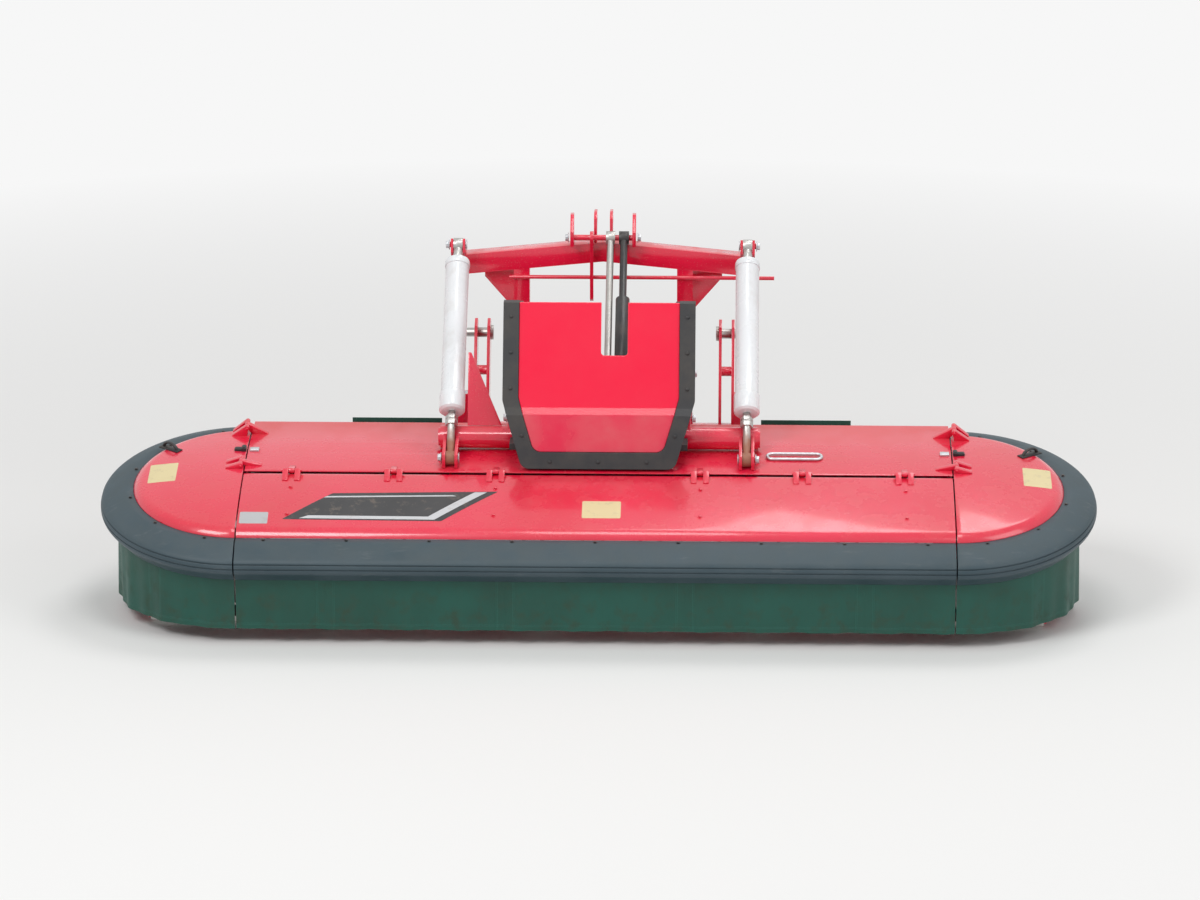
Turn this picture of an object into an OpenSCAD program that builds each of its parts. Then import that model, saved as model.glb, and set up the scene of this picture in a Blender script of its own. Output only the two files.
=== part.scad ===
// Front-mounted disc mower conditioner, 3.5 m class, standing on its skid shoes and parking legs.
// X runs across the machine, -Y is its front, +Z is up, and the origin is on the ground
// below the middle of its overall box. A depth d is measured rearwards from the bumper's nose.

/* [Overall] */
// Length from the bumper's nose to the hitch plates' rear edge
machine_l = 1720; // [1660:10:1800]
// Distance of a seam between hood and end guard from the outer disc's axis, towards the middle
seam_in = 82; // [60:1:100]
// Gap in the seam between the hood and an end guard
seam_gap = 5; // [5:1:8]
// Gap between a piece and the seat that carries it
seat_gap = 0.3; // [0.2:0.1:0.5]
// Radial clearance of a turning shaft or a hinge pin
run_gap = 0.3; // [0.2:0.1:0.5]

/* [Hood] */
// Slope of the hood, rising to the rear
deck_tilt = 12; // [8:0.5:14]
// Height of the hood's chord above the ground, below the middle of its arc
deck_h = 525; // [520:1:545]
// Rise of the hood's arc over its chord
deck_crown = 35; // [30:1:45]
// Outer radius of the bumper round an end guard
rim_r = 562; // [550:1:580]
// Radius where the hood's arc ends and its rolled edge begins
deck_flat_r = 388; // [370:1:400]
// Radius of the hood's rolled edge
roll_r = 60; // [50:1:65]
// Distance from the middle of the arc to the rear roll
deck_rear_r = 505; // [490:1:515]
// Thickness of the hood's panels
panel_t = 4; // [3:0.5:5]
// Place of the lid's hinge along the slope
lid_u = -10; // [-30:1:0]
// Height of the hinge pins over the top of the arc
hinge_lift = 12; // [11:1:16]
// Radius of a hinge pin
hinge_pin_r = 5; // [4:0.5:6]
// Outer radius of a hinge knuckle
knuckle_r = 10; // [9:0.5:11]
// Width of one hinge knuckle
knuckle_w = 24; // [20:1:30]

/* [Bumper and canvas] */
// Height of the bumper profile
bumper_h = 138; // [120:1:145]
// Thickness of the canvas
canvas_t = 4; // [3:0.5:6]
// Distance of the canvas from the bumper's nose
canvas_in = 70; // [60:1:90]
// Height of the canvas hem above the ground
hem_h = 60; // [40:1:90]
// Width of a canvas flap at the rear
flap_w = 360; // [300:10:400]
// Distance of a rear flap's inner edge from the middle
flap_x = 640; // [600:10:680]
// Height of a rear flap's lower edge
flap_z = 200; // [170:10:250]

/* [Cutterbar] */
// Number of discs, an even number
disc_n = 8; // [8:1:8]
// Distance between neighbouring discs
disc_pitch = 420; // [410:1:422]
// Depth of the disc axes
disc_d = 430; // [425:1:440]
// Radius of the circle that the knife tips cut
tip_r = 262; // [255:1:264]
// Front to back size of the cutterbar
bar_w = 260; // [240:1:270]
// Underside of the cutterbar
bar_z = 12; // [11:1:14]
// Height of the cutterbar's housing
bar_h = 52; // [48:1:54]
// Width of a skid shoe
skid_w = 310; // [280:1:340]
// Radius of a disc's body at its three corners
disc_r = 178; // [170:1:182]
// Radius of a disc's shaft
disc_shaft_r = 22; // [18:1:26]
// Height of the crop drums over the outer discs
drum_h = 165; // [140:1:168]

/* [Conditioner] */
// Distance of the rotor's axis behind the middle of the hood's arc
rotor_back = 287; // [283:1:291]
// Height of the rotor's axis
rotor_z = 350; // [345:1:352]
// Radius of the circle that the tines sweep
tine_tip_r = 228; // [215:1:229]
// Radius of the rotor's tube
rotor_tube_r = 80; // [70:1:90]
// Places with a pair of tines along the rotor
tine_n = 34; // [24:1:40]
// Inner radius of the curved hood over the tines
baffle_r = 238; // [237:1:239]
// Thickness of the side plates
side_t = 8; // [6:1:10]
// Width of the drive case beside the rotor
case_w = 68; // [60:1:72]

/* [Suspension] */
// Distance of a spring from the middle of the machine
spring_x = 582; // [575:1:590]
// Radius of a spring tube
spring_r = 47; // [40:1:49]
// Height of the springs' upper eyes
spring_up_z = 1280; // [1260:1:1290]
// Radius of the cross tube over the hood
tube_r = 45; // [40:1:46]
// Depth of the cross tube
tube_d = 742; // [740:1:748]
// Clearance of the cross tube and of the springs' eyes over the hood
tube_clear = 5; // [4:1:10]

/* [Headstock] */
// Distance of a column and a lower arm from the middle
column_x = 330; // [320:1:340]
// Distance of a hitch plate pair from the middle
hitch_x = 500; // [490:1:510]
// Distance of the columns' middle from the hitch plates' rear edge
column_back = 280; // [270:1:290]
// Height of the columns' lower ends
column_low = 440; // [430:5:450]
// Height of the top of the crossbeam at its ends
beam_end_z = 1215; // [1190:1:1240]
// Height of the top of the crossbeam in the middle
beam_mid_z = 1275; // [1250:1:1300]
// Height of the hitch pins
hitch_z = 830; // [800:1:850]
// Radius of a hitch pin
hitch_pin_r = 18.3; // [14:0.1:18.5]
// Radius of the bore for the top link's pin
top_bore_r = 16; // [12:0.5:16]
// Height of the top link's bore
top_bore_z = 1350; // [1340:1:1360]
// Radius of the drive input
pto_r = 17.4; // [17:0.1:22]
// Height of the drive input
pto_z = 690; // [680:1:700]
// Side of a parking leg's square tube
leg_w = 50; // [40:1:52]

/* [Swath boards] */
// Length of a swath board from its pivot
swath_len = 486; // [440:2:500]
// Height of a board's lower edge
swath_low = 160; // [140:5:180]
// Height of a board's upper edge
swath_high = 460; // [440:5:465]

/* [Hidden] */
DISC_NODES = ["disc_1", "disc_2", "disc_3", "disc_4", "disc_5", "disc_6", "disc_7", "disc_8"];
$fn = 48;

red = [0.80, 0.05, 0.09];
slate = [0.20, 0.23, 0.26];
black = [0.06, 0.06, 0.07];
steel = [0.62, 0.64, 0.66];
pale = [0.86, 0.87, 0.88];
teal = [0.02, 0.34, 0.27];

// The hood's arc and its rolled edge, as radius and height over the chord
deck_R = (pow(deck_flat_r + roll_r * 0.75, 2) + deck_crown * deck_crown) / (2 * deck_crown);
function deck_w(r, t = 0) = sqrt(pow(deck_R - t, 2) - r * r) - (deck_R - deck_crown);
function roll_a(r) = asin(r / deck_R);
function roll_c(r) = (deck_R - roll_r) * [sin(roll_a(r)), cos(roll_a(r))] - [0, deck_R - deck_crown];
function roll_pt(r, a, t = 0) = roll_c(r) + (roll_r - t) * [sin(a), cos(a)];
edge_a = 60;
crown_steps = 10;
roll_steps = 8;
function deck_line(r0, r1, a1, t) = concat(
  [for (i = [0:crown_steps]) let (r = r0 + (r1 - r0) * i / crown_steps) [r, deck_w(r, t)]],
  [for (i = [1:roll_steps]) roll_pt(r1, roll_a(r1) + (a1 - roll_a(r1)) * i / roll_steps, t)]);
function reversed(list) = [for (i = [len(list) - 1:-1:0]) list[i]];
function deck_section(r0, r1, a1) =
  concat(deck_line(r0, r1, a1, 0), reversed(deck_line(r0, r1, a1, panel_t)));
edge_pt = roll_pt(deck_flat_r, edge_a);

// The bumper's section, as radius and height over the chord, from its inner top round the nose
bumper_in_r = edge_pt[0] + seat_gap;
bumper_top = edge_pt[1];
bumper_bottom = bumper_top - bumper_h;
nose_steps = 9;
function nose_pt(a) = [rim_r - 34 + 34 * cos(a), bumper_top - 62 + 34 * sin(a)];
bumper_pts = concat([[bumper_in_r, bumper_top], [bumper_in_r + 36, bumper_top + 1]],
  [for (i = [0:nose_steps]) nose_pt(70 - 130 * i / nose_steps)],
  [[rim_r - 46, bumper_bottom], [bumper_in_r, bumper_bottom]]);

// Depth of the middle of the hood's arc, which puts the bumper's nose at depth 0
deck_d = max([for (p = bumper_pts) p[0] * cos(deck_tilt) + p[1] * sin(deck_tilt)]);
function Y(d) = d - machine_l / 2;
seam_x = (disc_n - 1) / 2 * disc_pitch - seam_in;
rotor_d = deck_d + rotor_back;

// Height of the hood's outer surface over the ground at depth d
function hood_z(d) = deck_h - (deck_R - deck_crown) * cos(deck_tilt)
  + sqrt(pow(deck_R, 2) - pow(d - deck_d - (deck_R - deck_crown) * sin(deck_tilt), 2));

// Height of a seat just below the hood's panel at depth d
function hood_seat(d) = deck_h - (deck_R - deck_crown) * cos(deck_tilt) - seat_gap
  + sqrt(pow(deck_R - panel_t, 2) - pow(d - deck_d - (deck_R - deck_crown) * sin(deck_tilt), 2));

eye_r = 27;
pin_r = 12;
tube_z = hood_z(tube_d) + tube_r + tube_clear;
spring_low_d = tube_d - 154;
spring_low_z = hood_z(spring_low_d) + eye_r + tube_clear;
column_d = machine_l - column_back;
spring_up_d = column_d - 110;
leg_d = column_d - 25;
hitch_d = machine_l - 70;
cap_x = seam_x + seam_gap;
cap_hinge_x = cap_x + 12;
lid_gap = 6;
hinge_w = deck_crown + hinge_lift;
beam_front = [518, 582, deck_h - 77, deck_h - 5]; // front, rear, bottom, top of the front beam
beam_rear = [1030, 1086, deck_h - 45, deck_h + 33]; // the same of the rear beam
rib_x = [-spring_x, -300, 300, spring_x];
rib_t = 10;
shaft_d = rotor_d + 165;
shaft_z = deck_h + 41;
shaft_tube_r = 27;
case_x = seam_x - side_t - case_w;
rotor_left = -seam_x + 26;
rotor_right = case_x - 12;
bar_top = bar_z + bar_h;
boss_h = 10;
disc_z = bar_top + boss_h + 1.5;
disc_t = 9;
knife_t = 4.5;
bar_end = (disc_n - 1) / 2 * disc_pitch + tip_r + 12;
arm_z = 355; // underside of the end arm
arm_tube = 60;
gear_x = (disc_n - 1) / 2 * disc_pitch;
gear_gap = 6;
gear_z = disc_z + disc_t + drum_h + 6 + gear_gap;
leg_x = hitch_x + 78;
link_x = [125, 32]; // places of the outer and the inner top plates
link_low = [tube_d + 46, deck_h + 343];
link_up = [column_d - 62, 1300];
socket_t = 6;
leg_hole_r = 9;
leg_hole_z = [for (i = [0:4]) 170 + 75 * i];
swath_x = 1150;
swath_d = 1118;

module deck() translate([0, Y(deck_d), deck_h]) rotate([deck_tilt, 0, 0]) children();
module along_x(len) rotate([90, 0, 90]) linear_extrude(len, center = true) children();
module at(x, d, z) translate([x, Y(d), z]) children();
module bar_x(d0, d1, z0, z1, x0, x1) translate([x0, Y(d0), z0]) cube([x1 - x0, d1 - d0, z1 - z0]);
module rod_x(x, d, z, r, len) at(x, d, z) rotate([0, 90, 0]) cylinder(r = r, h = len, center = true);
module sides() { children(); mirror([1, 0, 0]) children(); }

// A straight round bar between two points
module rod(a, b, r) {
  v = b - a;
  translate(a) rotate([0, acos(v[2] / norm(v)), atan2(v[1], v[0])]) cylinder(r = r, h = norm(v));
}
function P(x, d, z) = [x, Y(d), z];

// Front beam, rear beam and the ribs over the conditioner that carry the cross tube
module main_frame() color(red) {
  length = 2 * (seam_x - side_t - seat_gap);
  difference() {
    union() {
      bar_x(beam_front[0], beam_front[1], beam_front[2], beam_front[3], -length / 2, length / 2);
      bar_x(beam_rear[0], beam_rear[1], beam_rear[2], beam_rear[3], -length / 2, length / 2);
      for (x = rib_x) translate([x, 0, 0]) along_x(rib_t) polygon(concat(
        [[Y(beam_front[1]) - 1, beam_front[2]], [Y(beam_front[1]) - 1, beam_front[3]],
        [Y(tube_d - 60), hood_seat(tube_d - 60)], [Y(tube_d - 40), hood_seat(tube_d - 40)],
        [Y(tube_d - 40), tube_z - tube_r - seat_gap], [Y(tube_d + 40), tube_z - tube_r - seat_gap]],
        [for (i = [0:4]) let (d = tube_d + 40 + (beam_rear[0] - 4 - tube_d - 40) * i / 4) [Y(d), hood_seat(d)]],
        [[Y(beam_rear[0]) + 1, beam_rear[3]], [Y(beam_rear[0]) + 1, beam_rear[2]],
        [Y(beam_rear[0]) - 40, beam_rear[2]], [Y(rotor_d), rotor_z + 120], [Y(beam_front[1]) + 20, beam_front[2]]]));
      sides() for (z = [deck_h - 25, deck_h + 11])
        bar_x(beam_rear[1] - 1, swath_d + 20, z, z + 12, swath_x - 22, swath_x + 22);
    }
    sides() at(swath_x, swath_d, deck_h - 35) cylinder(r = 12 + run_gap, h = 80);
    rod_x(0, rotor_d, rotor_z, baffle_r + 3 + seat_gap, 2 * seam_x + 2);
    rod_x(0, shaft_d, shaft_z, shaft_tube_r + seat_gap, 2 * seam_x + 2);
  }
}

// Side plate with the rotor's bearing, and the arm that reaches out and down to the bar's end
module side_frame(side) color(red) {
  arm_end = bar_end + 12;
  difference() {
    union() {
      translate([side * (seam_x - side_t / 2), 0, 0]) along_x(side_t)
        polygon([for (p = [[385, 290], [385, deck_h - 93], [515, deck_h - 20], [560, deck_h - 1], [900, hood_z(900) - 20], [1060, hood_z(1060) - 24],
          [1080, deck_h + 35], [1086, deck_h - 55], [1070, 200], [1010, 75], [735, 75], [710, 135], [640, 180], [560, 290]])
          [Y(p[0]), p[1]]]);
      bar_x(400, 400 + arm_tube, arm_z, arm_z + arm_tube,
        side > 0 ? seam_x - 1 : -arm_end, side > 0 ? arm_end : 1 - seam_x);
      translate([side * (arm_end - 6), 0, 0]) along_x(12)
        polygon([for (p = [[330, bar_z + 8], [330, 130], [390, arm_z + arm_tube],
          [470, arm_z + arm_tube], [530, 130], [530, bar_z + 8]]) [Y(p[0]), p[1]]]);
      if (side < 0) {
        rod_x(5 + side_t - seam_x, rotor_d, rotor_z, 52, 12);
        rod_x(-seam_x - 7, rotor_d, rotor_z, 62, 16);
      }
      translate([0, 0, arm_z + arm_tube / 2 - 4]) linear_extrude(8) polygon([for (p = [[seam_x - 1, 459],
        [seam_x + 120, 459], [seam_x - 1, 575]]) [side * p[0], Y(p[1])]]);
      translate([side * (arm_end - 70), Y(430), 0]) rotate([90, 0, 0]) linear_extrude(8, center = true)
        polygon([for (p = [[0, arm_z + 1], [60, arm_z + 1], [60, 200]]) [side * p[0], p[1]]]);
    }
    translate([side * seam_x, 0, 0]) along_x(3 * side_t) {
      hull() for (p = [[605, deck_h - 95], [665, deck_h - 63]]) translate([Y(p[0]), p[1]]) circle(r = 24);
      hull() for (p = [[940, 130], [990, 160]]) translate([Y(p[0]), p[1]]) circle(r = 18);
    }
    if (side < 0) rod_x(-seam_x, rotor_d, rotor_z, 25 + run_gap, 80);
    if (side > 0) rod_x(seam_x, disc_d, gear_z + 42, 16 + seat_gap, 40);
  }
}
module side_frame_left() side_frame(-1);
module side_frame_right() side_frame(1);

// Curved sheet over the tines
module conditioner_hood() color(steel) {
  x0 = -seam_x + side_t + seat_gap;
  x1 = case_x - seat_gap;
  translate([(x0 + x1) / 2, Y(rotor_d), rotor_z]) along_x(x1 - x0) intersection() {
    difference() {
      circle(r = baffle_r + 3, $fn = 180);
      circle(r = baffle_r, $fn = 180);
    }
    polygon([[0, 0], 400 * [cos(12), sin(12)], [400, 400], [-400, 400], 400 * [cos(165), sin(165)]]);
  }
}

// A plate on edge under the hood's arc, from r0 to r1, as a rib or a turned-down lip
rib_h = 28;
lip_t = 4;
function under_arc(r0, r1, depth) = concat(
  [for (i = [0:8]) let (r = r0 + (r1 - r0) * i / 8) [r, deck_w(abs(r), panel_t) + 1]],
  [[r1, deck_w(abs(r1), panel_t) - depth * 0.3], [r1 - sign(r1 - r0) * 24, deck_w(abs(r1) - 24, panel_t) - depth]],
  [for (i = [7:-1:1]) let (r = r0 + (r1 - r0) * i / 8) [r, deck_w(abs(r), panel_t) - depth]],
  [[r0 + sign(r1 - r0) * 24, deck_w(abs(r0) - 24, panel_t) - depth], [r0, deck_w(abs(r0), panel_t) - depth * 0.3]]);

// Rear part of the hood, fixed over the conditioner, with the fixed leaves of the hinges
lid_hinge_x = [-1200, -800, -400, 400, 800, 1200];
cap_hinge_u = [60, 370];
module hood_deck() color(red) {
  difference() {
    deck() along_x(2 * seam_x)
      polygon(deck_section(lid_u + lid_gap / 2, deck_rear_r, 90));
    for (x = rib_x) bar_x(tube_d - 46, tube_d + 46,
      hood_z(tube_d) - 40, hood_z(tube_d) + 30, x - rib_t, x + rib_t);
    bar_x(gear_front - 18, gear_front + gear_len + 82, deck_h - 25, deck_h + 175, -gear_half - 47, gear_half + 47);
  }
  deck() for (x = lid_hinge_x) translate([x, 0, 0]) {
    translate([0, lid_u, hinge_w]) rotate([0, 90, 0])
      cylinder(r = hinge_pin_r, h = 3 * knuckle_w, center = true);
    along_x(knuckle_w - 1) polygon([[lid_u - hinge_pin_r, hinge_w], [lid_u, hinge_w + hinge_pin_r],
      [lid_u + 12, hinge_w], [lid_u + 60, deck_crown - 1], [lid_u + 60, deck_crown - 3],
      [lid_u + lid_gap / 2 + 1, deck_crown - 3], [lid_u + lid_gap / 2 + 1, hinge_w - hinge_pin_r]]);
  }
  deck() sides() for (u = cap_hinge_u) translate([0, u, 0]) {
    translate([cap_hinge_x, 0, hinge_w]) rotate([90, 0, 0])
      cylinder(r = hinge_pin_r, h = 3 * knuckle_w, center = true);
    translate([0, (knuckle_w - 1) / 2, 0]) rotate([90, 0, 0]) linear_extrude(knuckle_w - 1)
      polygon([[cap_hinge_x + hinge_pin_r, hinge_w], [cap_hinge_x, hinge_w + hinge_pin_r],
        [cap_x - 14, hinge_w], [cap_x - 70, deck_w(u) + 4], [cap_x - 70, deck_w(u) - 2],
        [seam_x - 1, deck_w(u) - 2], [seam_x - 1, hinge_w - hinge_pin_r],
        [cap_hinge_x, hinge_w - hinge_pin_r]]);
  }
}

// Flat gear housing that carries the discs
module cutterbar() color(steel) difference() {
  union() {
    along_x(2 * (bar_end - seat_gap)) translate([Y(disc_d - bar_w / 2), bar_z]) polygon([
      [0, 20], [3, 34], [14, bar_h - 6], [40, bar_h], [bar_w - 26, bar_h], [bar_w, bar_h - 12],
      [bar_w, 10], [bar_w - 22, 0], [28, 0], [6, 8]]);
    for (i = [0:disc_n - 1]) at((i - (disc_n - 1) / 2) * disc_pitch, disc_d, bar_top - 1)
      cylinder(r = 62, h = boss_h + 1);
  }
  for (i = [0:disc_n - 1]) at((i - (disc_n - 1) / 2) * disc_pitch, disc_d, bar_z + 20)
    cylinder(r = disc_shaft_r + run_gap, h = bar_h);
}

// Wear shoes under the cutterbar, one below each disc
module skid_shoes() color(steel) {
  front = disc_d - bar_w / 2;
  for (i = [0:disc_n - 1]) translate([(i - (disc_n - 1) / 2) * disc_pitch, 0, 0])
    along_x(skid_w) translate([Y(front), 0]) polygon([
      [-16, bar_z + 30], [-8, bar_z + 33], [-2, bar_z + 18], [4, bar_z + 6], [28, bar_z - seat_gap],
      [bar_w - 22, bar_z - seat_gap], [bar_w + 26, bar_z + 8], [bar_w + 30, bar_z + 2],
      [bar_w - 10, 0], [34, 0], [-4, bar_z]]);
}

// One cutting disc: body, three knives, and a cone or drum on the outer ones
// shapes by place along the bar: 2 = drum, 1 = cone, 0 = flat cap
disc_shape = [2, 1, 0, 0, 0, 0, 1, 2];
module disc(i) color(steel) at((i - (disc_n - 1) / 2) * disc_pitch, disc_d, 0)
  rotate([0, 0, i % 2 == 0 ? 90 : 30]) {
    shape = disc_shape[i];
    translate([0, 0, bar_z + 24]) cylinder(r = disc_shaft_r, h = disc_z - bar_z - 23);
    translate([0, 0, disc_z]) linear_extrude(disc_t) hull()
      for (a = [0:120:240]) rotate(a) translate([disc_r - 36, 0]) circle(r = 36);
    for (a = [0:120:240]) rotate([0, 0, a]) {
      translate([0, 0, disc_z - knife_t + 0.5]) linear_extrude(knife_t) polygon([
        [disc_r - 50, -20], [tip_r - 16, -20], [tip_r - 1, -8], [tip_r - 1, 20], [disc_r - 50, 20]]);
      translate([disc_r - 28, 0, disc_z + disc_t - 1]) cylinder(r = 15, h = 8);
    }
    translate([0, 0, disc_z + disc_t - 1]) {
      if (shape == 0) { cylinder(r1 = 108, r2 = 70, h = 22); cylinder(r = 48, h = 30); }
      if (shape == 1) { cylinder(r1 = 112, r2 = 78, h = 90); cylinder(r = 48, h = 98); }
      if (shape == 2) {
        cylinder(r1 = 118, r2 = 92, h = drum_h + 1);
        translate([0, 0, drum_h]) cylinder(r = 108, h = 7);
        if (i == disc_n - 1) cylinder(r = 18, h = drum_h + 60);
      }
    }
  }

// Rotor tube with end discs, stub shafts and the welded lugs that the tines are bolted to
rotor_len = rotor_right - rotor_left;
function tine_x(i) = rotor_left + 40 + i * (rotor_len - 80) / (tine_n - 1);
module at_tines() for (i = [0:tine_n - 1], half = [0, 180])
  translate([tine_x(i), 0, 0]) rotate([half + 54 * abs(i - (tine_n - 1) / 2), 0, 0]) children();
module rotor() color(steel) at(0, rotor_d, rotor_z) {
  translate([rotor_left - 21, 0, 0]) rotate([0, 90, 0]) cylinder(r = 25, h = rotor_len + 60);
  translate([rotor_left, 0, 0]) rotate([0, 90, 0]) cylinder(r = rotor_tube_r, h = rotor_len);
  for (x = [rotor_left, rotor_right - 8]) translate([x, 0, 0]) rotate([0, 90, 0])
    cylinder(r = 150, h = 8);
  at_tines() translate([tine_t / 2 + seat_gap + 5, 0, 0]) along_x(10)
    polygon([[-22, rotor_tube_r - 8], [26, rotor_tube_r - 8], [16, 122], [-10, 122]]);
}

// Flat steel tines in pairs, set round the tube in a V
tine_t = 12;
module rotor_tines() color(steel) at(0, rotor_d, rotor_z) at_tines() along_x(tine_t)
  polygon([[-15, rotor_tube_r + seat_gap], [19, rotor_tube_r + seat_gap], [12, 150],
    [24, tine_tip_r - 4], [14, tine_tip_r - 1], [-6, 150]]);

// Bevel gearbox: a ribbed casting on a foot flange, with a bearing housing behind and a cover on top
gear_front = rotor_d + 138;
gear_len = 160;
gear_half = 88;
gear_top = pto_z + 80;
pto_d = gear_front + gear_len + 18;
module gearbox() color(red) {
  base = beam_rear[3] + seat_gap;
  difference() {
    union() {
      along_x(2 * gear_half) translate([Y(gear_front), 0]) polygon([[0, base], [0, pto_z - 40],
        [26, gear_top], [gear_len - 30, gear_top], [gear_len, gear_top - 34], [gear_len, base]]);
      bar_x(gear_front, gear_front + gear_len, base, base + 16, -115, 115);
      sides() for (d = [gear_front + 26, gear_front + gear_len / 2, gear_front + gear_len - 36])
        translate([gear_half - 1, Y(d), base + 15]) rotate([90, 0, 0])
        linear_extrude(9, center = true) polygon([[0, 0], [24, 0], [10, 130], [0, 150]]);
      at(0, gear_front + gear_len / 2 - 4, gear_top - 1) linear_extrude(13) offset(r = 14)
        square([112, 70], center = true);
      at(36, gear_front + gear_len / 2 - 4, gear_top + 11) cylinder(r = 13, h = 14, $fn = 6);
      at(0, gear_front + gear_len - 1, pto_z) rotate([-90, 0, 0]) {
        cylinder(r = 68, h = 11);
        cylinder(r1 = 58, r2 = 50, h = pto_d - gear_front - gear_len);
      }
      sides() rod_x(gear_half + 12, shaft_d, shaft_z, 29, 30);
    }
    at(0, pto_d - 76, pto_z) rotate([-90, 0, 0]) cylinder(r = 22 + run_gap, h = 100);
    bar_x(beam_rear[0] - 6, beam_rear[1] + 6, beam_rear[3] - 40, base, -140, 140);
  }
}

// Flared guard round the drive input, clipped to the gearbox's bearing flange
module pto_guard() color(black) at(0, gear_front + gear_len + 10 + seat_gap, pto_z) rotate([-90, 0, 0])
  rotate_extrude($fn = 72) polygon([[61, 0], [74, 0], [74, 12], [70, 12], [92, 94], [96, 94],
    [96, 100], [89, 100], [66, 14], [61, 14]]);

// Splined stub that takes the drive shaft
module pto_input() color(steel) at(0, pto_d - 74, pto_z) rotate([-90, 0, 0]) {
  cylinder(r = 22, h = 75);
  translate([0, 0, 74]) cylinder(r = pto_r, h = 96);
}

// Tube over the shaft from the gearbox to the drive case
module cross_shaft() color(black) rod_x((115 + case_x) / 2, shaft_d, shaft_z, shaft_tube_r,
  case_x - 115 - 2 * seat_gap);

module case_outline(o) {
  hull() {
    translate([Y(shaft_d), shaft_z - 15]) circle(r = 36 + o);
    translate([Y(rotor_d), rotor_z]) circle(r = 70 + o);
  }
  hull() {
    translate([Y(rotor_d), rotor_z]) circle(r = 70 + o);
    translate([Y(disc_d), gear_z + 42]) circle(r = 36 + o);
  }
}
// Case with the drive down to the rotor and on to the last disc
module drive_case() color(red) {
  difference() {
    translate([case_x + case_w / 2, 0, 0]) {
      along_x(case_w - 2 * seat_gap) case_outline(0);
      along_x(14) case_outline(9);
    }
    rod_x(seam_x, rotor_d, rotor_z, 25 + run_gap, 2 * case_w + 60);
  }
  rod_x((case_x + case_w + gear_x - 60) / 2, disc_d, gear_z + 42, 16, gear_x - 60 - case_x - case_w + 4);
  at(gear_x, disc_d, gear_z) difference() {
    union() {
      cylinder(r = 66, h = arm_z - gear_z - seat_gap);
      cylinder(r = 74, h = 10);
      for (a = [20:40:340]) rotate([0, 0, a]) translate([60, -4, 9]) cube([12, 8, 50]);
    }
    translate([0, 0, -1]) cylinder(r = 18 + run_gap, h = 60);
  }
}

// Tube over the hood with the lugs of the springs and lower arms and the tower of the top link
arm_low = [tube_d + 55, tube_z + 64];
arm_up = [column_d - 70, tube_z + 90];
module eye_pin(x, p, len) rod_x(x, p[0], p[1], pin_r - run_gap, len);
module cross_tube() color(red) {
  rod_x(0, tube_d, tube_z, tube_r, 2 * spring_x + 90);
  sides() {
    rod_x(spring_x + 46, tube_d, tube_z, tube_r - 8, 14);
    for (x = [spring_x - 24, spring_x + 24]) translate([x, 0, 0]) along_x(12)
      polygon([for (p = [[spring_low_d - 30, spring_low_z - 34], [spring_low_d - 34, spring_low_z + 20],
        [spring_low_d, spring_low_z + 34], [tube_d - 10, tube_z + 30], [tube_d, tube_z - 30],
        [tube_d - 60, tube_z - 46]]) [Y(p[0]), p[1]]]);
    eye_pin(spring_x, [spring_low_d, spring_low_z], 70);
    for (x = [column_x - 26, column_x + 26]) translate([x, 0, 0]) along_x(10)
      polygon([for (p = [[tube_d - 30, tube_z], [tube_d - 10, tube_z + 90], arm_low + [35, 36],
        arm_low + [40, -10], [tube_d + 30, tube_z - 30]]) [Y(p[0]), p[1]]]);
    eye_pin(column_x, arm_low, 72);
    translate([link_x[0], 0, 0]) along_x(12)
      polygon([for (p = [[tube_d - 44, tube_z], [tube_d - 10, link_low[1] + 12], link_low + [-10, 40],
        link_low + [35, 30], link_low + [40, -20], [tube_d + 44, tube_z]]) [Y(p[0]), p[1]]]);
  }
  eye_pin(0, link_low, 2 * link_x[0]);
}

// An eye round a pin, across the machine
module eye(x, p, w) rod_x(x, p[0], p[1], eye_r, w);
module eye_bore(x, p) rod_x(x, p[0], p[1], pin_r, 200);

// Lower suspension arms from the cross tube back to the columns
module lower_arms() color(red) for (x = [-column_x, column_x]) difference() {
  union() {
    eye(x, arm_low, 40);
    eye(x, arm_up, 40);
    translate([x, 0, 0]) along_x(34) polygon([for (p = [arm_low + [0, 24], arm_up + [0, 24],
      arm_up - [0, 24], arm_low - [0, 24]]) [Y(p[0]), p[1]]]);
  }
  eye_bore(x, arm_low);
  eye_bore(x, arm_up);
}

// Triangular guard plate on the left end of the cross tube
module arm_guard() color(red) at(0, tube_d, tube_z + tube_r + seat_gap) rotate([-20, 0, 0]) rotate([90, 0, 0])
  linear_extrude(6) polygon([[62 - spring_x, 0], [-column_x - 54, 0], [74 - spring_x, 290], [62 - spring_x, 290]]);

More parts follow.
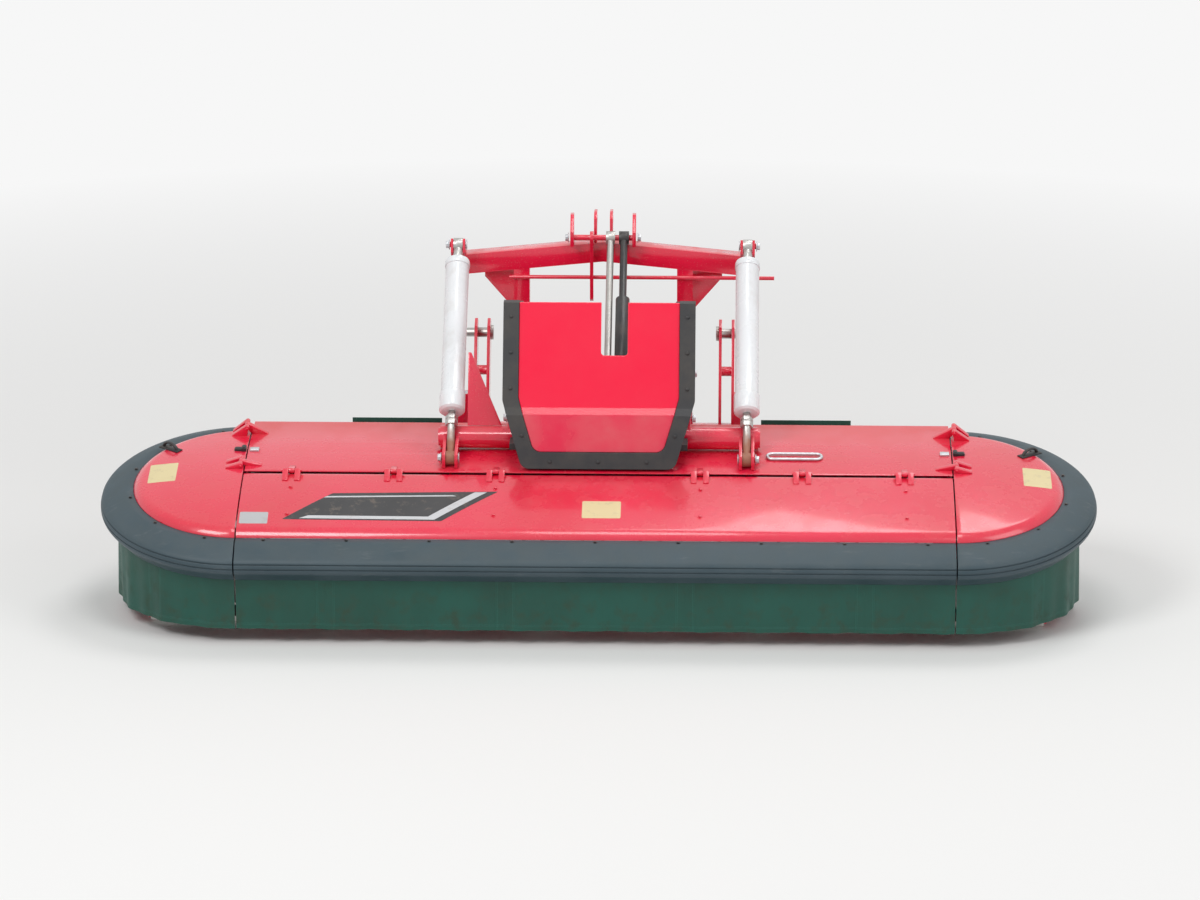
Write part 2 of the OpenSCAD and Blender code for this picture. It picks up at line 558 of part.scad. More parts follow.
// Columns, crossbeam, lower crossbar, hitch plates and leg sockets
module headstock() color(red) {
  difference() {
    union() {
      sides() bar_x(column_d - 40, column_d + 40, column_low, beam_end_z - 40, column_x - 32, column_x + 32);
      bar_x(column_d - 35, column_d + 35, column_low, column_low + 60, -hitch_x - 36, hitch_x + 36);
      translate([0, Y(column_d), 0]) rotate([90, 0, 0]) linear_extrude(80, center = true) polygon([
        [-spring_x - 29, beam_end_z - 80], [0, beam_mid_z - 80], [spring_x + 29, beam_end_z - 80],
        [spring_x + 29, beam_end_z], [0, beam_mid_z], [-spring_x - 29, beam_end_z]]);
      sides() for (x = [hitch_x - 26, hitch_x + 26]) translate([x, 0, 0]) along_x(12)
        polygon([for (p = [[column_d - 35, column_low - 8], [column_d - 35, column_low + 80], [hitch_d - 50, hitch_z + 40],
          [hitch_d, hitch_z + 60], [machine_l, hitch_z + 30], [machine_l, hitch_z - 40],
          [column_d + 70, column_low - 8]]) [Y(p[0]), p[1]]]);
      sides() bar_x(leg_d - leg_w / 2 - socket_t, leg_d + leg_w / 2 + socket_t, column_low, column_low + 200,
        hitch_x + 31, leg_x + leg_w / 2 + socket_t);
      sides() translate([0, Y(column_d), 0]) rotate([90, 0, 0]) linear_extrude(12, center = true) polygon([
        [column_x + 31, beam_end_z - 230], [column_x + 31, beam_end_z - 60],
        [column_x + 150, beam_end_z - 70], [column_x + 150, beam_end_z - 92]]);
      sides() rod_x(hitch_x, hitch_d - 110, hitch_z - 130, 20, 50);
      sides() bar_x(column_d - 52, column_d + 52, column_low - 4, column_low + 8, column_x - 44, column_x + 44);
      rod_x(155, column_d - 45, beam_end_z - 84, 8, 1070);
      sides() for (x = [column_x - 26, column_x + 26]) translate([x, 0, 0]) along_x(10)
        polygon([for (p = [arm_up + [-30, -30], arm_up + [-30, 30], [column_d, arm_up[1] + 60],
          [column_d, arm_up[1] - 60]]) [Y(p[0]), p[1]]]);
      sides() for (x = [spring_x - 24, spring_x + 24]) translate([x, 0, 0]) along_x(10)
        polygon([for (p = [[spring_up_d - 30, spring_up_z - 26], [spring_up_d - 20, spring_up_z + 30],
          [column_d + 30, beam_end_z - 1], [column_d + 30, beam_end_z - 70],
          [column_d - 30, beam_end_z - 79]]) [Y(p[0]), p[1]]]);
    }
    sides() translate([leg_x, Y(leg_d), 550])
      cube([leg_w + 2 * run_gap, leg_w + 2 * run_gap, 400], center = true);
    sides() at(leg_x, leg_d, leg_hole_z[4]) rotate([90, 0, 0]) cylinder(r = leg_hole_r, h = 120, center = true);
    sides() rod_x(hitch_x, hitch_d, hitch_z, hitch_pin_r + 1.7 + run_gap, 200);
  }
  sides() eye_pin(column_x, arm_up, 72);
  sides() eye_pin(spring_x, [spring_up_d, spring_up_z], 70);
}

// Two outer plates that hold the links and two inner ones for the towing vehicle's top link
module top_bracket() color(red) {
  difference() {
    sides() {
      translate([link_x[0], 0, 0]) along_x(14) polygon([for (p = [[column_d + 38, beam_mid_z - 10],
        [column_d + 38, beam_mid_z + 10], [column_d + 8, top_bore_z - 25], [column_d - 8, top_bore_z + 40],
        [column_d - 40, top_bore_z + 40],
        link_up + [-34, 30], link_up + [-34, -30], [column_d - 38, beam_mid_z - 10]]) [Y(p[0]), p[1]]]);
      translate([link_x[1], 0, 0]) along_x(12) polygon([for (p = [[column_d - 30, beam_mid_z - 2],
        [column_d - 30, top_bore_z + 20], [column_d, top_bore_z + 40], [column_d + 70, top_bore_z + 36],
        [column_d + 80, top_bore_z - 20], [column_d + 38, beam_mid_z - 2]]) [Y(p[0]), p[1]]]);
    }
    translate([0, Y(column_d), 0]) rotate([90, 0, 0]) linear_extrude(300, center = true) polygon([
      [-spring_x, beam_end_z - 80], [spring_x, beam_end_z - 80],
      [spring_x, beam_end_z + seat_gap], [0, beam_mid_z + seat_gap], [-spring_x, beam_end_z + seat_gap]]);
    rod_x(0, column_d + 40, top_bore_z, top_bore_r, 90);
  }
  eye_pin(0, link_up, 2 * link_x[0]);
  translate([-46, 0, 0]) along_x(14) difference() {
    union() {
      translate([Y(link_up[0]), link_up[1]]) circle(r = 26);
      polygon([for (p = [[-20, 10], [20, 10], [4, -150], [4, -250], [-8, -262], [-24, -250], [-24, -150]])
        [Y(link_up[0] + p[0]), link_up[1] + p[1]]]);
    }
    translate([Y(link_up[0] - 10), link_up[1] - 240]) circle(r = 7);
  }
}

// Hitch pins: a head inside the plates, a shank through them and a stub for the link's ball
module hitch_pins() color(steel) sides() {
  translate([hitch_x - 44, Y(hitch_d), hitch_z]) rotate([0, 90, 0]) {
    cylinder(r = 30, h = 12 - seat_gap);
    cylinder(r = hitch_pin_r + 1.7, h = 79);
    translate([0, 0, 78]) cylinder(r = hitch_pin_r, h = 79);
  }
}

// A round bar with an eye at each end, from the tower up to the top bracket
module link(x, r, w) difference() {
  union() {
    rod(P(x, link_low[0], link_low[1]), P(x, link_up[0], link_up[1]), r);
    eye(x, link_low, w);
    eye(x, link_up, w);
  }
  eye_bore(x, link_low);
  eye_bore(x, link_up);
}
module top_link() color(pale) link(30, 14, 36);
module link_cylinder() color(black) {
  link(84, 15, 40);
  v = P(84, link_up[0], link_up[1]) - P(84, link_low[0], link_low[1]);
  a = P(84, link_low[0], link_low[1]) + v * 0.06;
  rod(a, a + v * 0.5, 28);
}

spring_v = P(0, spring_up_d, spring_up_z) - P(0, spring_low_d, spring_low_z);
spring_len = norm(spring_v);
spring_top = spring_len - 80;
module on_spring(x) translate(P(x, spring_low_d, spring_low_z))
  rotate([-atan2(spring_v[1], spring_v[2]), 0, 0]) children();
module spring_tubes() color(pale) for (x = [-spring_x, spring_x]) on_spring(x)
  difference() {
    union() {
      translate([0, 0, 215]) cylinder(r = spring_r, h = spring_top - 215);
      translate([0, 0, 211]) cylinder(r1 = spring_r - 4, r2 = spring_r + 4, h = 8);
      translate([0, 0, 218.5]) cylinder(r = spring_r + 4, h = 74);
      translate([0, 0, 292]) cylinder(r1 = spring_r + 4, r2 = spring_r - 1, h = 8);
      translate([0, 0, spring_top - 29]) cylinder(r = spring_r + 3, h = 22);
      translate([0, 0, spring_top - 7.5]) cylinder(r1 = spring_r + 3, r2 = spring_r - 6, h = 12);
    }
    translate([0, 0, 200]) cylinder(r = 15 + seat_gap, h = spring_len - 200);
  }
module spring_rods() color(steel) for (x = [-spring_x, spring_x]) difference() {
  union() {
    on_spring(x) {
      cylinder(r = 15, h = spring_len);
      translate([0, 0, 148]) cylinder(r = 25, h = 26, $fn = 6);
      translate([0, 0, 176]) cylinder(r = 25, h = 16, $fn = 6);
      translate([0, 0, spring_len - 70]) cylinder(r = 18, h = 46);
    }
    eye(x, [spring_low_d, spring_low_z], 35);
    eye(x, [spring_up_d, spring_up_z], 37);
  }
  eye_bore(x, [spring_low_d, spring_low_z]);
  eye_bore(x, [spring_up_d, spring_up_z]);
}

// Bright handle loop lying on the hood
module loop_handle() color(steel) deck() translate([770, 150, deck_w(150) + 7.5]) {
  for (s = [-1, 1]) translate([0, s * 22, 0]) rotate([0, 90, 0]) cylinder(r = 6, h = 170, center = true);
  for (s = [-1, 1]) translate([s * 85, 0, 0]) rotate([0, 0, s * -90]) rotate_extrude(angle = 180)
    translate([22, 0]) circle(r = 6);
}

// Shield over the drive: a red panel with a shoulder across it in a dark moulded frame, carried by struts from the tube
shield_line = [for (p = [[548, 49], [606, 251], [630, 275], [806, 655]]) [p[0], deck_h + p[1]]]; // depth and height of its bottom, shoulder and top
shield_half = [378, 300]; // half width over the fold and at the bottom
shield_band = 62;
function offset_line(o) = [for (p = shield_line) [Y(p[0] + o), p[1]]];
module shield_outline(inset) offset(r = 40) offset(delta = -40 - inset) polygon([
  [-shield_half[1], shield_line[0][1]], [shield_half[1], shield_line[0][1]],
  [shield_half[0], shield_line[2][1] + 25], [shield_half[0], shield_line[3][1] + 120], [-shield_half[0], shield_line[3][1] + 120],
  [-shield_half[0], shield_line[2][1] + 25]]);
module shield_notch() translate([60, shield_line[3][1] - 60]) offset(r = 12) square([80, 240], center = true);
module shield_body(front, rear) intersection() {
  along_x(900) polygon(concat(offset_line(front), reversed(offset_line(rear))));
  translate([0, Y(700), 0]) rotate([90, 0, 0]) linear_extrude(600, center = true) children();
}
module shield_panel() color(red) shield_body(0, 5) difference() {
  shield_outline(shield_band + seat_gap);
  shield_notch();
}
module shield_frame() color(black) {
  shield_body(-8, 34) difference() {
    shield_outline(0);
    shield_outline(shield_band);
  }
  shield_body(5 + seat_gap, 22) difference() {
    shield_outline(shield_band - 4);
    shield_outline(shield_band + 16);
  }
  for (x = [-330, 330]) bar_x(600, tube_d - tube_r - seat_gap, tube_z - 12, tube_z + 12, x - 20, x + 20);
}

// Closed bumper profile and canvas of the straight front
module front_bumper() color(slate) deck() along_x(2 * seam_x) mirror([1, 0]) polygon(bumper_pts);
module front_lid() color(red) {
  deck() for (x = [-1200, -400, 400, 1200]) translate([x, 0, 0]) along_x(5)
    mirror([1, 0]) polygon(under_arc(46, 372, rib_h));
  deck() sides() translate([seam_x - lip_t / 2, 0, 0]) along_x(lip_t)
    mirror([1, 0]) polygon(under_arc(30, 384, rib_h - 4));
  deck() along_x(2 * seam_x) mirror([1, 0]) polygon(deck_section(-lid_u + lid_gap / 2, deck_flat_r, edge_a));
  deck() for (x = lid_hinge_x, s = [-1, 1]) translate([x + s * knuckle_w, 0, 0]) difference() {
    along_x(knuckle_w - 1) difference() {
      union() {
        translate([lid_u, hinge_w]) circle(r = knuckle_r);
        polygon([[lid_u, hinge_w + knuckle_r], [lid_u - 60, deck_w(lid_u - 60) + 2],
          [lid_u - 60, deck_w(lid_u - 60) - 2], [lid_u - 4, deck_crown - 2], [lid_u, hinge_w - knuckle_r]]);
      }
      translate([lid_u, hinge_w]) circle(r = hinge_pin_r + run_gap);
    }
  }
}

// Canvas: an upright wall below the bumper, cut off just under the bumper's flat underside
module below_bumper() intersection() {
  children();
  deck() translate([0, 0, bumper_bottom - seat_gap - 1000]) cube([5000, 3000, 2000], center = true);
}
skirt_c = deck_d - bumper_bottom * sin(deck_tilt); // middle of the end canvas, below the bumper's own middle
canvas_r = skirt_c - canvas_in;
module front_skirt() color(teal) below_bumper()
  bar_x(canvas_in, canvas_in + canvas_t, hem_h, 600, -seam_x, seam_x);
module cap(side) color(red) deck() {
  mirror([side > 0 ? 0 : 1, 0, 0]) {
    translate([cap_x, 0, 0]) rotate([0, 0, -90]) rotate_extrude(angle = 180, $fn = 96)
      polygon(deck_section(0, deck_flat_r, edge_a));
    translate([cap_x + lip_t / 2, 0, 0]) along_x(lip_t) polygon(under_arc(-384, 384, rib_h - 4));
    for (u = cap_hinge_u, s = [-1, 1]) translate([0, u + s * knuckle_w + (knuckle_w - 1) / 2, 0])
      rotate([90, 0, 0]) linear_extrude(knuckle_w - 1) difference() {
        hx = cap_hinge_x;
        union() {
          translate([hx, hinge_w]) circle(r = knuckle_r);
          polygon([[hx, hinge_w + knuckle_r], [hx + 60, deck_w(norm([u, 60])) + 2],
            [hx + 60, deck_w(norm([u, 60])) - 2], [cap_x + 2, deck_w(u) - 2], [hx, hinge_w - knuckle_r]]);
        }
        translate([hx, hinge_w]) circle(r = hinge_pin_r + run_gap);
      }
  }
}
module cap_left() cap(-1);
module cap_right() cap(1);
module end_bumper(side) color(slate) deck() mirror([side > 0 ? 0 : 1, 0, 0])
  translate([cap_x, 0, 0]) rotate([0, 0, -90]) rotate_extrude(angle = 180, $fn = 96) polygon(bumper_pts);
module bumper_left() end_bumper(-1);
module bumper_right() end_bumper(1);
module end_skirt(side) color(teal) below_bumper() mirror([side > 0 ? 0 : 1, 0, 0])
  at(cap_x, skirt_c, hem_h) rotate([0, 0, -90]) rotate_extrude(angle = 180, $fn = 96)
  translate([canvas_r - canvas_t, 0]) square([canvas_t, 700]);
module skirt_left() end_skirt(-1);
module skirt_right() end_skirt(1);

rear_edge_d = deck_d + (roll_c(deck_rear_r)[0] + roll_r) * cos(deck_tilt)
  - roll_c(deck_rear_r)[1] * sin(deck_tilt);
module rear_canvas() color(teal) sides()
  bar_x(rear_edge_d + seat_gap, rear_edge_d + seat_gap + canvas_t, flap_z, beam_rear[3] + 64, flap_x, flap_x + flap_w);

// Parking leg: a drilled square tube on a foot plate with four webs
module stand(side) color(steel) at(side * leg_x, leg_d, 0) {
  difference() {
    translate([0, 0, 325]) cube([leg_w, leg_w, 630], center = true);
    translate([0, 0, 340]) cube([leg_w - 10, leg_w - 10, 640], center = true);
    for (z = leg_hole_z) translate([0, 0, z]) rotate([90, 0, 0]) cylinder(r = leg_hole_r, h = 60, center = true);
  }
  translate([0, 0, 6]) cube([130, 130, 12], center = true);
  for (a = [0:90:270]) rotate([0, 0, a]) rotate([90, 0, 0]) linear_extrude(6, center = true)
    polygon([[leg_w / 2 - 1, 11], [58, 11], [leg_w / 2 - 1, 70]]);
}
module stand_left() stand(-1);
module stand_right() stand(1);

// Board that narrows the swath, with a turned flange along its edges, on an upright pivot
module swath_board(side) color(red) at(side * swath_x, swath_d, 0) {
  translate([0, 0, swath_low - 10]) cylinder(r = 12, h = deck_h + 43 - swath_low);
  translate([0, 0, swath_high + 10]) cylinder(r = 20, h = deck_h - 35 - swath_high - seat_gap);
  rotate([0, 0, side * 40]) {
    along_x(4) polygon([[0, swath_low], [swath_len - 16, swath_low], [swath_len, swath_low + 16],
      [swath_len, swath_high - 90], [swath_len - 86, swath_high], [0, swath_high]]);
    for (p = [[swath_low + 3, swath_len - 46], [swath_high - 12, swath_len - 126]])
      translate([side > 0 ? 1 : -21, 14, p[0]]) cube([20, p[1], 4]);
  }
}
module swath_board_left() swath_board(-1);
module swath_board_right() swath_board(1);

main_frame();
side_frame_left();
side_frame_right();
conditioner_hood();
hood_deck();
cutterbar();
skid_shoes();
cross_tube();
gearbox();
pto_guard();
cross_shaft();
drive_case();
shield_panel();
shield_frame();
lower_arms();
arm_guard();
headstock();
top_bracket();
hitch_pins();
top_link();
link_cylinder();
spring_tubes();
spring_rods();
loop_handle();
rear_canvas();
front_lid();
front_bumper();
front_skirt();
cap_left();
bumper_left();
skirt_left();
cap_right();
bumper_right();
skirt_right();
rotor();
rotor_tines();
pto_input();
stand_left();
stand_right();
swath_board_left();
swath_board_right();
for (i = [0:disc_n - 1]) disc(i);
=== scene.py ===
import math
import bpy
from mathutils import Matrix, Vector


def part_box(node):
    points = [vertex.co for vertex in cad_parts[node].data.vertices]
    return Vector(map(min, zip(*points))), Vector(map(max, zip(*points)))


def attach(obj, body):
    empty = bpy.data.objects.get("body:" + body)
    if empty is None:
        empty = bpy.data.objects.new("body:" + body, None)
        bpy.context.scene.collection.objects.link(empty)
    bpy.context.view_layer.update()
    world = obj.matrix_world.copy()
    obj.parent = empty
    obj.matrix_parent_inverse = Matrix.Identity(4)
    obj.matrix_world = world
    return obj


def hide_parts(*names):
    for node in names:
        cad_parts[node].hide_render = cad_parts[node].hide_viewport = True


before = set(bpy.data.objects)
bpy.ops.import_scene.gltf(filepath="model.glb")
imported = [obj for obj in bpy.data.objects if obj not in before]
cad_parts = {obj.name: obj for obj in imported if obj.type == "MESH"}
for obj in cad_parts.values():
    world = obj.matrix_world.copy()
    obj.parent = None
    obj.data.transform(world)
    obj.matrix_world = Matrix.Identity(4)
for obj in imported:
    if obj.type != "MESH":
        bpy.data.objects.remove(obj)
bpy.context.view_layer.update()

# Camera
# It stands high in front of the machine, a little to its right, as the photograph was taken from
# the air, with a long lens so that the mower fills the frame.
camera_place = Vector((0.52, -20.86, 6.64))
camera_aim = Vector((0.0, 0.0, 0.56))
camera_data = bpy.data.cameras.new("camera")
camera_data.sensor_width = 36.0
camera_data.lens = 164.0
camera_data.clip_end = 200.0
camera = bpy.data.objects.new("camera", camera_data)
camera.location = camera_place
camera.rotation_euler = (camera_aim - camera_place).to_track_quat("-Z", "Y").to_euler()
bpy.context.scene.collection.objects.link(camera)
bpy.context.scene.camera = camera
bpy.context.scene.view_settings.view_transform = "Standard"

# Studio light
# A bright even world and four large soft lamps. The world lights the machine less than it shows to
# the camera and in what is glossy.
world_light, world_shown = 0.42, 0.93
world = bpy.data.worlds.new("studio")
world.use_nodes = True
bpy.context.scene.world = world
sky = world.node_tree
background = sky.nodes["Background"]
path = sky.nodes.new("ShaderNodeLightPath")
seen = sky.nodes.new("ShaderNodeMath")
seen.operation = "MAXIMUM"
sky.links.new(path.outputs["Is Camera Ray"], seen.inputs[0])
sky.links.new(path.outputs["Is Glossy Ray"], seen.inputs[1])
level = sky.nodes.new("ShaderNodeMapRange")
level.inputs["To Min"].default_value = world_light
level.inputs["To Max"].default_value = world_shown
sky.links.new(seen.outputs[0], level.inputs["Value"])
sky.links.new(level.outputs[0], background.inputs["Strength"])
background.inputs["Color"].default_value = (1.0, 1.0, 1.0, 1.0)

lamp_aim = Vector((0, 0, 0.4))
for name, place, size, power in (("key_lamp", (-5.5, -7.0, 8.5), 4.0, 470.0),
                                 ("top_lamp", (0.3, -2.9, 9.2), 3.0, 150.0),
                                 ("fill_lamp", (7.5, -5.0, 5.5), 5.0, 190.0),
                                 ("back_lamp", (2.5, 3.4, 9.6), 4.0, 190.0)):
    lamp = bpy.data.lights.new(name, "AREA")
    lamp.size, lamp.energy = size, power
    holder = bpy.data.objects.new(name, lamp)
    holder.location = place
    holder.rotation_euler = (lamp_aim - holder.location).to_track_quat("-Z", "Y").to_euler()
    bpy.context.scene.collection.objects.link(holder)

# Studio floor
# A pale matt floor that runs out of every view and ends in the world's own tone. As on every piece
# after it, its finish is a principled shader with its nodes written as sums on wires, and whatever
# changes over a surface ends in its colour, roughness, metallic, coat or bump.
class Wire:
    """One output in a material, on which sums can be written."""

    def __init__(self, finish, socket):
        self.finish, self.socket = finish, socket

    def sum(self, operation, first, second):
        return self.finish.node("ShaderNodeMath", {"operation": operation}, {0: first, 1: second})

    def __add__(self, other): return self.sum("ADD", self, other)
    def __radd__(self, other): return self.sum("ADD", other, self)
    def __sub__(self, other): return self.sum("SUBTRACT", self, other)
    def __rsub__(self, other): return self.sum("SUBTRACT", other, self)
    def __mul__(self, other): return self.sum("MULTIPLY", self, other)
    def __rmul__(self, other): return self.sum("MULTIPLY", other, self)
    def __gt__(self, other): return self.sum("GREATER_THAN", self, other)
    def __lt__(self, other): return self.sum("LESS_THAN", self, other)


class Finish:
    """A material of one named finish, with the constants on the shader's own sockets."""

    def __init__(self, name, colour, specular=0.5, **constants):
        self.material = bpy.data.materials.new(name)
        self.material.use_nodes = True
        self.tree = self.material.node_tree
        self.shader = self.tree.nodes["Principled BSDF"]
        self.shader.inputs["Base Color"].default_value = (*colour, 1.0)
        self.shader.inputs["Specular IOR Level"].default_value = specular
        self.material.diffuse_color = (*colour, 1.0)
        for word, value in constants.items():
            self.shader.inputs[word.replace("_", " ").title()].default_value = value

    def node(self, kind, settings=None, values=None, out=0):
        made = self.tree.nodes.new(kind)
        for word, value in (settings or {}).items():
            setattr(made, word, value)
        for word, value in (values or {}).items():
            if isinstance(value, Wire):
                self.tree.links.new(value.socket, made.inputs[word])
            else:
                made.inputs[word].default_value = value
        return Wire(self, made.outputs[out])

    def place(self, stretch=(1, 1, 1)):
        objects = self.node("ShaderNodeTexCoord", out="Object")
        return self.node("ShaderNodeMapping", {}, {"Vector": objects, "Scale": stretch})

    def part_of(self, vector, letter):
        return self.node("ShaderNodeSeparateXYZ", {}, {0: vector}, out=letter)

    def noise(self, scale, detail=3.0, roughness=0.55, stretch=(1, 1, 1)):
        return self.node("ShaderNodeTexNoise", {}, {
            "Vector": self.place(stretch), "Scale": scale, "Detail": detail, "Roughness": roughness})

    def between(self, value, low, high, new_low=0.0, new_high=1.0):
        return self.node("ShaderNodeMapRange", {"clamp": True}, {
            "Value": value, "From Min": low, "From Max": high, "To Min": new_low, "To Max": new_high})

    def blend(self, share, one, other):
        rgba = [v if isinstance(v, Wire) else (*v, 1.0) for v in (one, other)]
        return self.node("ShaderNodeMix", {"data_type": "RGBA"}, {0: share, 6: rgba[0], 7: rgba[1]}, out=2)

    def feed(self, word, wire):
        self.tree.links.new(wire.socket, self.shader.inputs[word])

    def bump(self, height, depth, strength):
        self.feed("Normal", self.node("ShaderNodeBump", {}, {
            "Height": height, "Distance": depth, "Strength": strength}))

    def facing_up(self):
        return self.part_of(self.node("ShaderNodeNewGeometry", out="Normal"), "Z")


def select_nothing():
    bpy.ops.object.select_all(action="DESELECT")


floor_in_gloss, fade_near, fade_far = 0.6, 2.2, 7.5
select_nothing()
bpy.ops.mesh.primitive_plane_add(size=160, location=(0, 0, -0.001))
floor = bpy.context.object
floor.name = "floor"
floor_finish = Finish("floor_paint", (0.84, 0.84, 0.83), roughness=0.9)
distance = floor_finish.node("ShaderNodeVectorMath", {"operation": "LENGTH"},
                             {0: floor_finish.place()}, out="Value")
camera_ray = floor_finish.node("ShaderNodeLightPath", out="Is Camera Ray")
glossy_ray = floor_finish.node("ShaderNodeLightPath", out="Is Glossy Ray")
glow = floor_finish.node("ShaderNodeEmission", {}, {"Color": (*[world_shown] * 3, 1.0)})
fade = floor_finish.between(distance, fade_near, fade_far) * camera_ray + glossy_ray * floor_in_gloss
mixed = floor_finish.node("ShaderNodeMixShader", {}, {
    0: fade, 1: Wire(floor_finish, floor_finish.shader.outputs[0]), 2: glow})
floor_finish.tree.links.new(mixed.socket, floor_finish.tree.nodes["Material Output"].inputs["Surface"])
floor.data.materials.append(floor_finish.material)
bpy.ops.object.transform_apply()

# Painted sheet metal of the hood
# Glossy bright red enamel on pressed steel, faded a little in patches, with a film of field dust that
# lies on what faces up and fine pollen specks; what faces up also turns paler towards the back of the hood.
def red_enamel(name, dust, rear_paling=0.0):
    fresh, faded, soil = (0.72, 0.005, 0.036), (0.80, 0.012, 0.060), (0.50, 0.34, 0.27)
    paint = Finish(name, (0.62, 0.005, 0.03), roughness=0.28, coat_roughness=0.08)
    colour = paint.blend(paint.between(paint.noise(1.6, 2.0), 0.35, 0.7), fresh, faded)
    film = paint.between(paint.noise(9.0, 6.0, 0.62), 0.42, 0.78) * dust
    depth = paint.part_of(paint.place(), "Y")
    # Towards the back of the hood what faces up turns paler and duller.
    film = film + paint.between(depth + paint.noise(6.0, 4.0) * 0.12, 0.02, 0.20) * rear_paling
    film = film * paint.between(paint.facing_up(), 0.2, 0.95)
    specks = paint.between(paint.noise(240.0, 2.0), 0.66, 0.72) * dust * 1.4
    paint.feed("Base Color", paint.blend(film * 0.5 + specks * 0.3, colour, soil))
    paint.feed("Roughness", 0.24 + film * 0.5 + specks * 0.3)
    paint.feed("Coat Weight", 0.75 - film * 1.2)
    paint.bump(paint.noise(310.0, 2.0) + paint.noise(22.0, 2.0) * 2.0, 0.00025, 0.35)
    return paint.material


hood_red = red_enamel("hood_red", 0.28, 0.45)
frame_red = red_enamel("frame_red", 0.7)

# The hood is drawn level, with x across, u back along its slope and w up from it, and then tilted.
deck_y, deck_z, deck_tilt = -0.327095, 0.525, math.radians(12)
arc_r, arc_rise, roll_r, flat_r, rear_r = 2.695914, 0.035, 0.060, 0.388, 0.505
front_roll_degrees, rear_roll_degrees = 60, 90
sheet_t, sheet_edge = 0.004, 0.0012
seam_x, cap_x, lid_edge, deck_edge = 1.388, 1.393, 0.013, 0.007


def start_line(name, x, y, z):
    """A new mesh of one point, from which a section is drawn in edit mode."""
    select_nothing()
    bpy.ops.mesh.primitive_plane_add(size=0.01, location=(x, y, z))
    part = bpy.context.object
    part.name = part.data.name = name
    bpy.ops.object.transform_apply()
    bpy.ops.object.mode_set(mode="EDIT")
    bpy.ops.mesh.select_mode(type="VERT")
    select_mesh()
    bpy.ops.mesh.merge(type="CENTER")
    return part


def select_mesh():
    bpy.ops.mesh.select_all(action="SELECT")


def go(x, y, z):
    bpy.ops.mesh.extrude_region_move(TRANSFORM_OT_translate={"value": (x, y, z)})


def arc(centre, degrees, steps, axis=(1, 0, 0)):
    """Turns what is selected round the axis by the right hand; the spin operator turns the other way."""
    bpy.ops.mesh.spin(steps=steps, angle=-math.radians(degrees), center=centre, axis=axis)


def merge_doubles():
    select_mesh()
    bpy.ops.mesh.remove_doubles(threshold=0.00002)


def face_outwards():
    select_mesh()
    bpy.ops.mesh.normals_make_consistent(inside=False)


def draw_out(x, y):
    """Draws the whole section sideways to a sheet or a solid."""
    select_mesh()
    go(x, y, 0)
    face_outwards()


def cut_across(across, place, whole=False):
    """Cuts the whole mesh at a place on the axis named, and may leave only what lies above."""
    axis = Vector([float(letter == across) for letter in "xyz"])
    select_mesh()
    bpy.ops.mesh.bisect(plane_co=axis * place, plane_no=axis, clear_inner=whole, use_fill=whole)


def pick(part):
    """Leaves edit mode with only this piece selected."""
    if bpy.context.mode != "OBJECT":
        bpy.ops.object.mode_set(mode="OBJECT")
    select_nothing()
    part.select_set(True)
    bpy.context.view_layer.objects.active = part


def with_modifier(part, kind, **settings):
    pick(part)
    modifier = part.modifiers.new(kind.lower(), kind)
    for word, value in settings.items():
        setattr(modifier, word, value)
    bpy.ops.object.modifier_apply(modifier=modifier.name)


def break_edges(part, width, degrees=50, segments=2):
    """Rounds every edge that is sharper than the angle."""
    with_modifier(part, "BEVEL", width=width, segments=segments, limit_method="ANGLE",
                  angle_limit=math.radians(degrees))


def thicken(sheet):
    """Gives a drawn sheet its thickness, downwards, and breaks its edges."""
    with_modifier(sheet, "SOLIDIFY", thickness=sheet_t, offset=-1)
    break_edges(sheet, sheet_edge)


def edit_all(part):
    pick(part)
    bpy.ops.object.mode_set(mode="EDIT")
    select_mesh()


def select_faces(part, test):
    """In edit mode, selects the faces that pass the test."""
    bpy.ops.mesh.select_all(action="DESELECT")
    bpy.ops.mesh.select_mode(type="FACE")
    bpy.ops.object.mode_set(mode="OBJECT")
    for face in part.data.polygons:
        face.select = test(face)
    bpy.ops.object.mode_set(mode="EDIT")


def tilted(part):
    """Moves a piece that was drawn level to its place on the machine."""
    pick(part)
    part.rotation_euler = (deck_tilt, 0, 0)
    part.location = (0, deck_y, deck_z)
    bpy.ops.object.transform_apply()


def complete(part, material, body, nodes=(), smooth=32):
    """Shading, material and body of a finished piece, and the CAD nodes it stands for."""
    pick(part)
    bpy.ops.object.shade_smooth_by_angle(angle=math.radians(smooth))
    part.data.materials.clear()
    part.data.materials.append(material)
    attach(part, body)
    if nodes:
        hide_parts(*nodes)


def arc_w(r, radius=arc_r):
    """Height of the hood's arc, or of one below it, at r from the middle of the arc."""
    return math.sqrt(radius ** 2 - r * r) - (arc_r - arc_rise)


def hood_line(name, x, near, far, toward, end):
    """The hood's section at x: along the arc from near to far, and round the roll to end degrees."""
    part = start_line(name, x, toward * near, arc_w(near))
    a0, a1 = (math.degrees(math.asin(r / arc_r)) for r in (near, far))
    arc((x, 0, arc_rise - arc_r), -toward * (a1 - a0), max(6, round((a1 - a0) * 3)))
    middle = Vector((math.sin(math.radians(a1)), math.cos(math.radians(a1)))) * (arc_r - roll_r)
    arc((x, toward * middle[0], middle[1] + arc_rise - arc_r), -toward * (end - a1), 14)
    return part


# Front lid of the hood
# One pressed steel sheet, curved front to back and rolled down over the bumper along its front edge.
# It lifts about six hinges.
lid = hood_line("hood_lid", -seam_x, lid_edge, flat_r, -1, front_roll_degrees)
draw_out(2 * seam_x, 0)
thicken(lid)
tilted(lid)
complete(lid, hood_red, "front_guard", ["front_lid"])

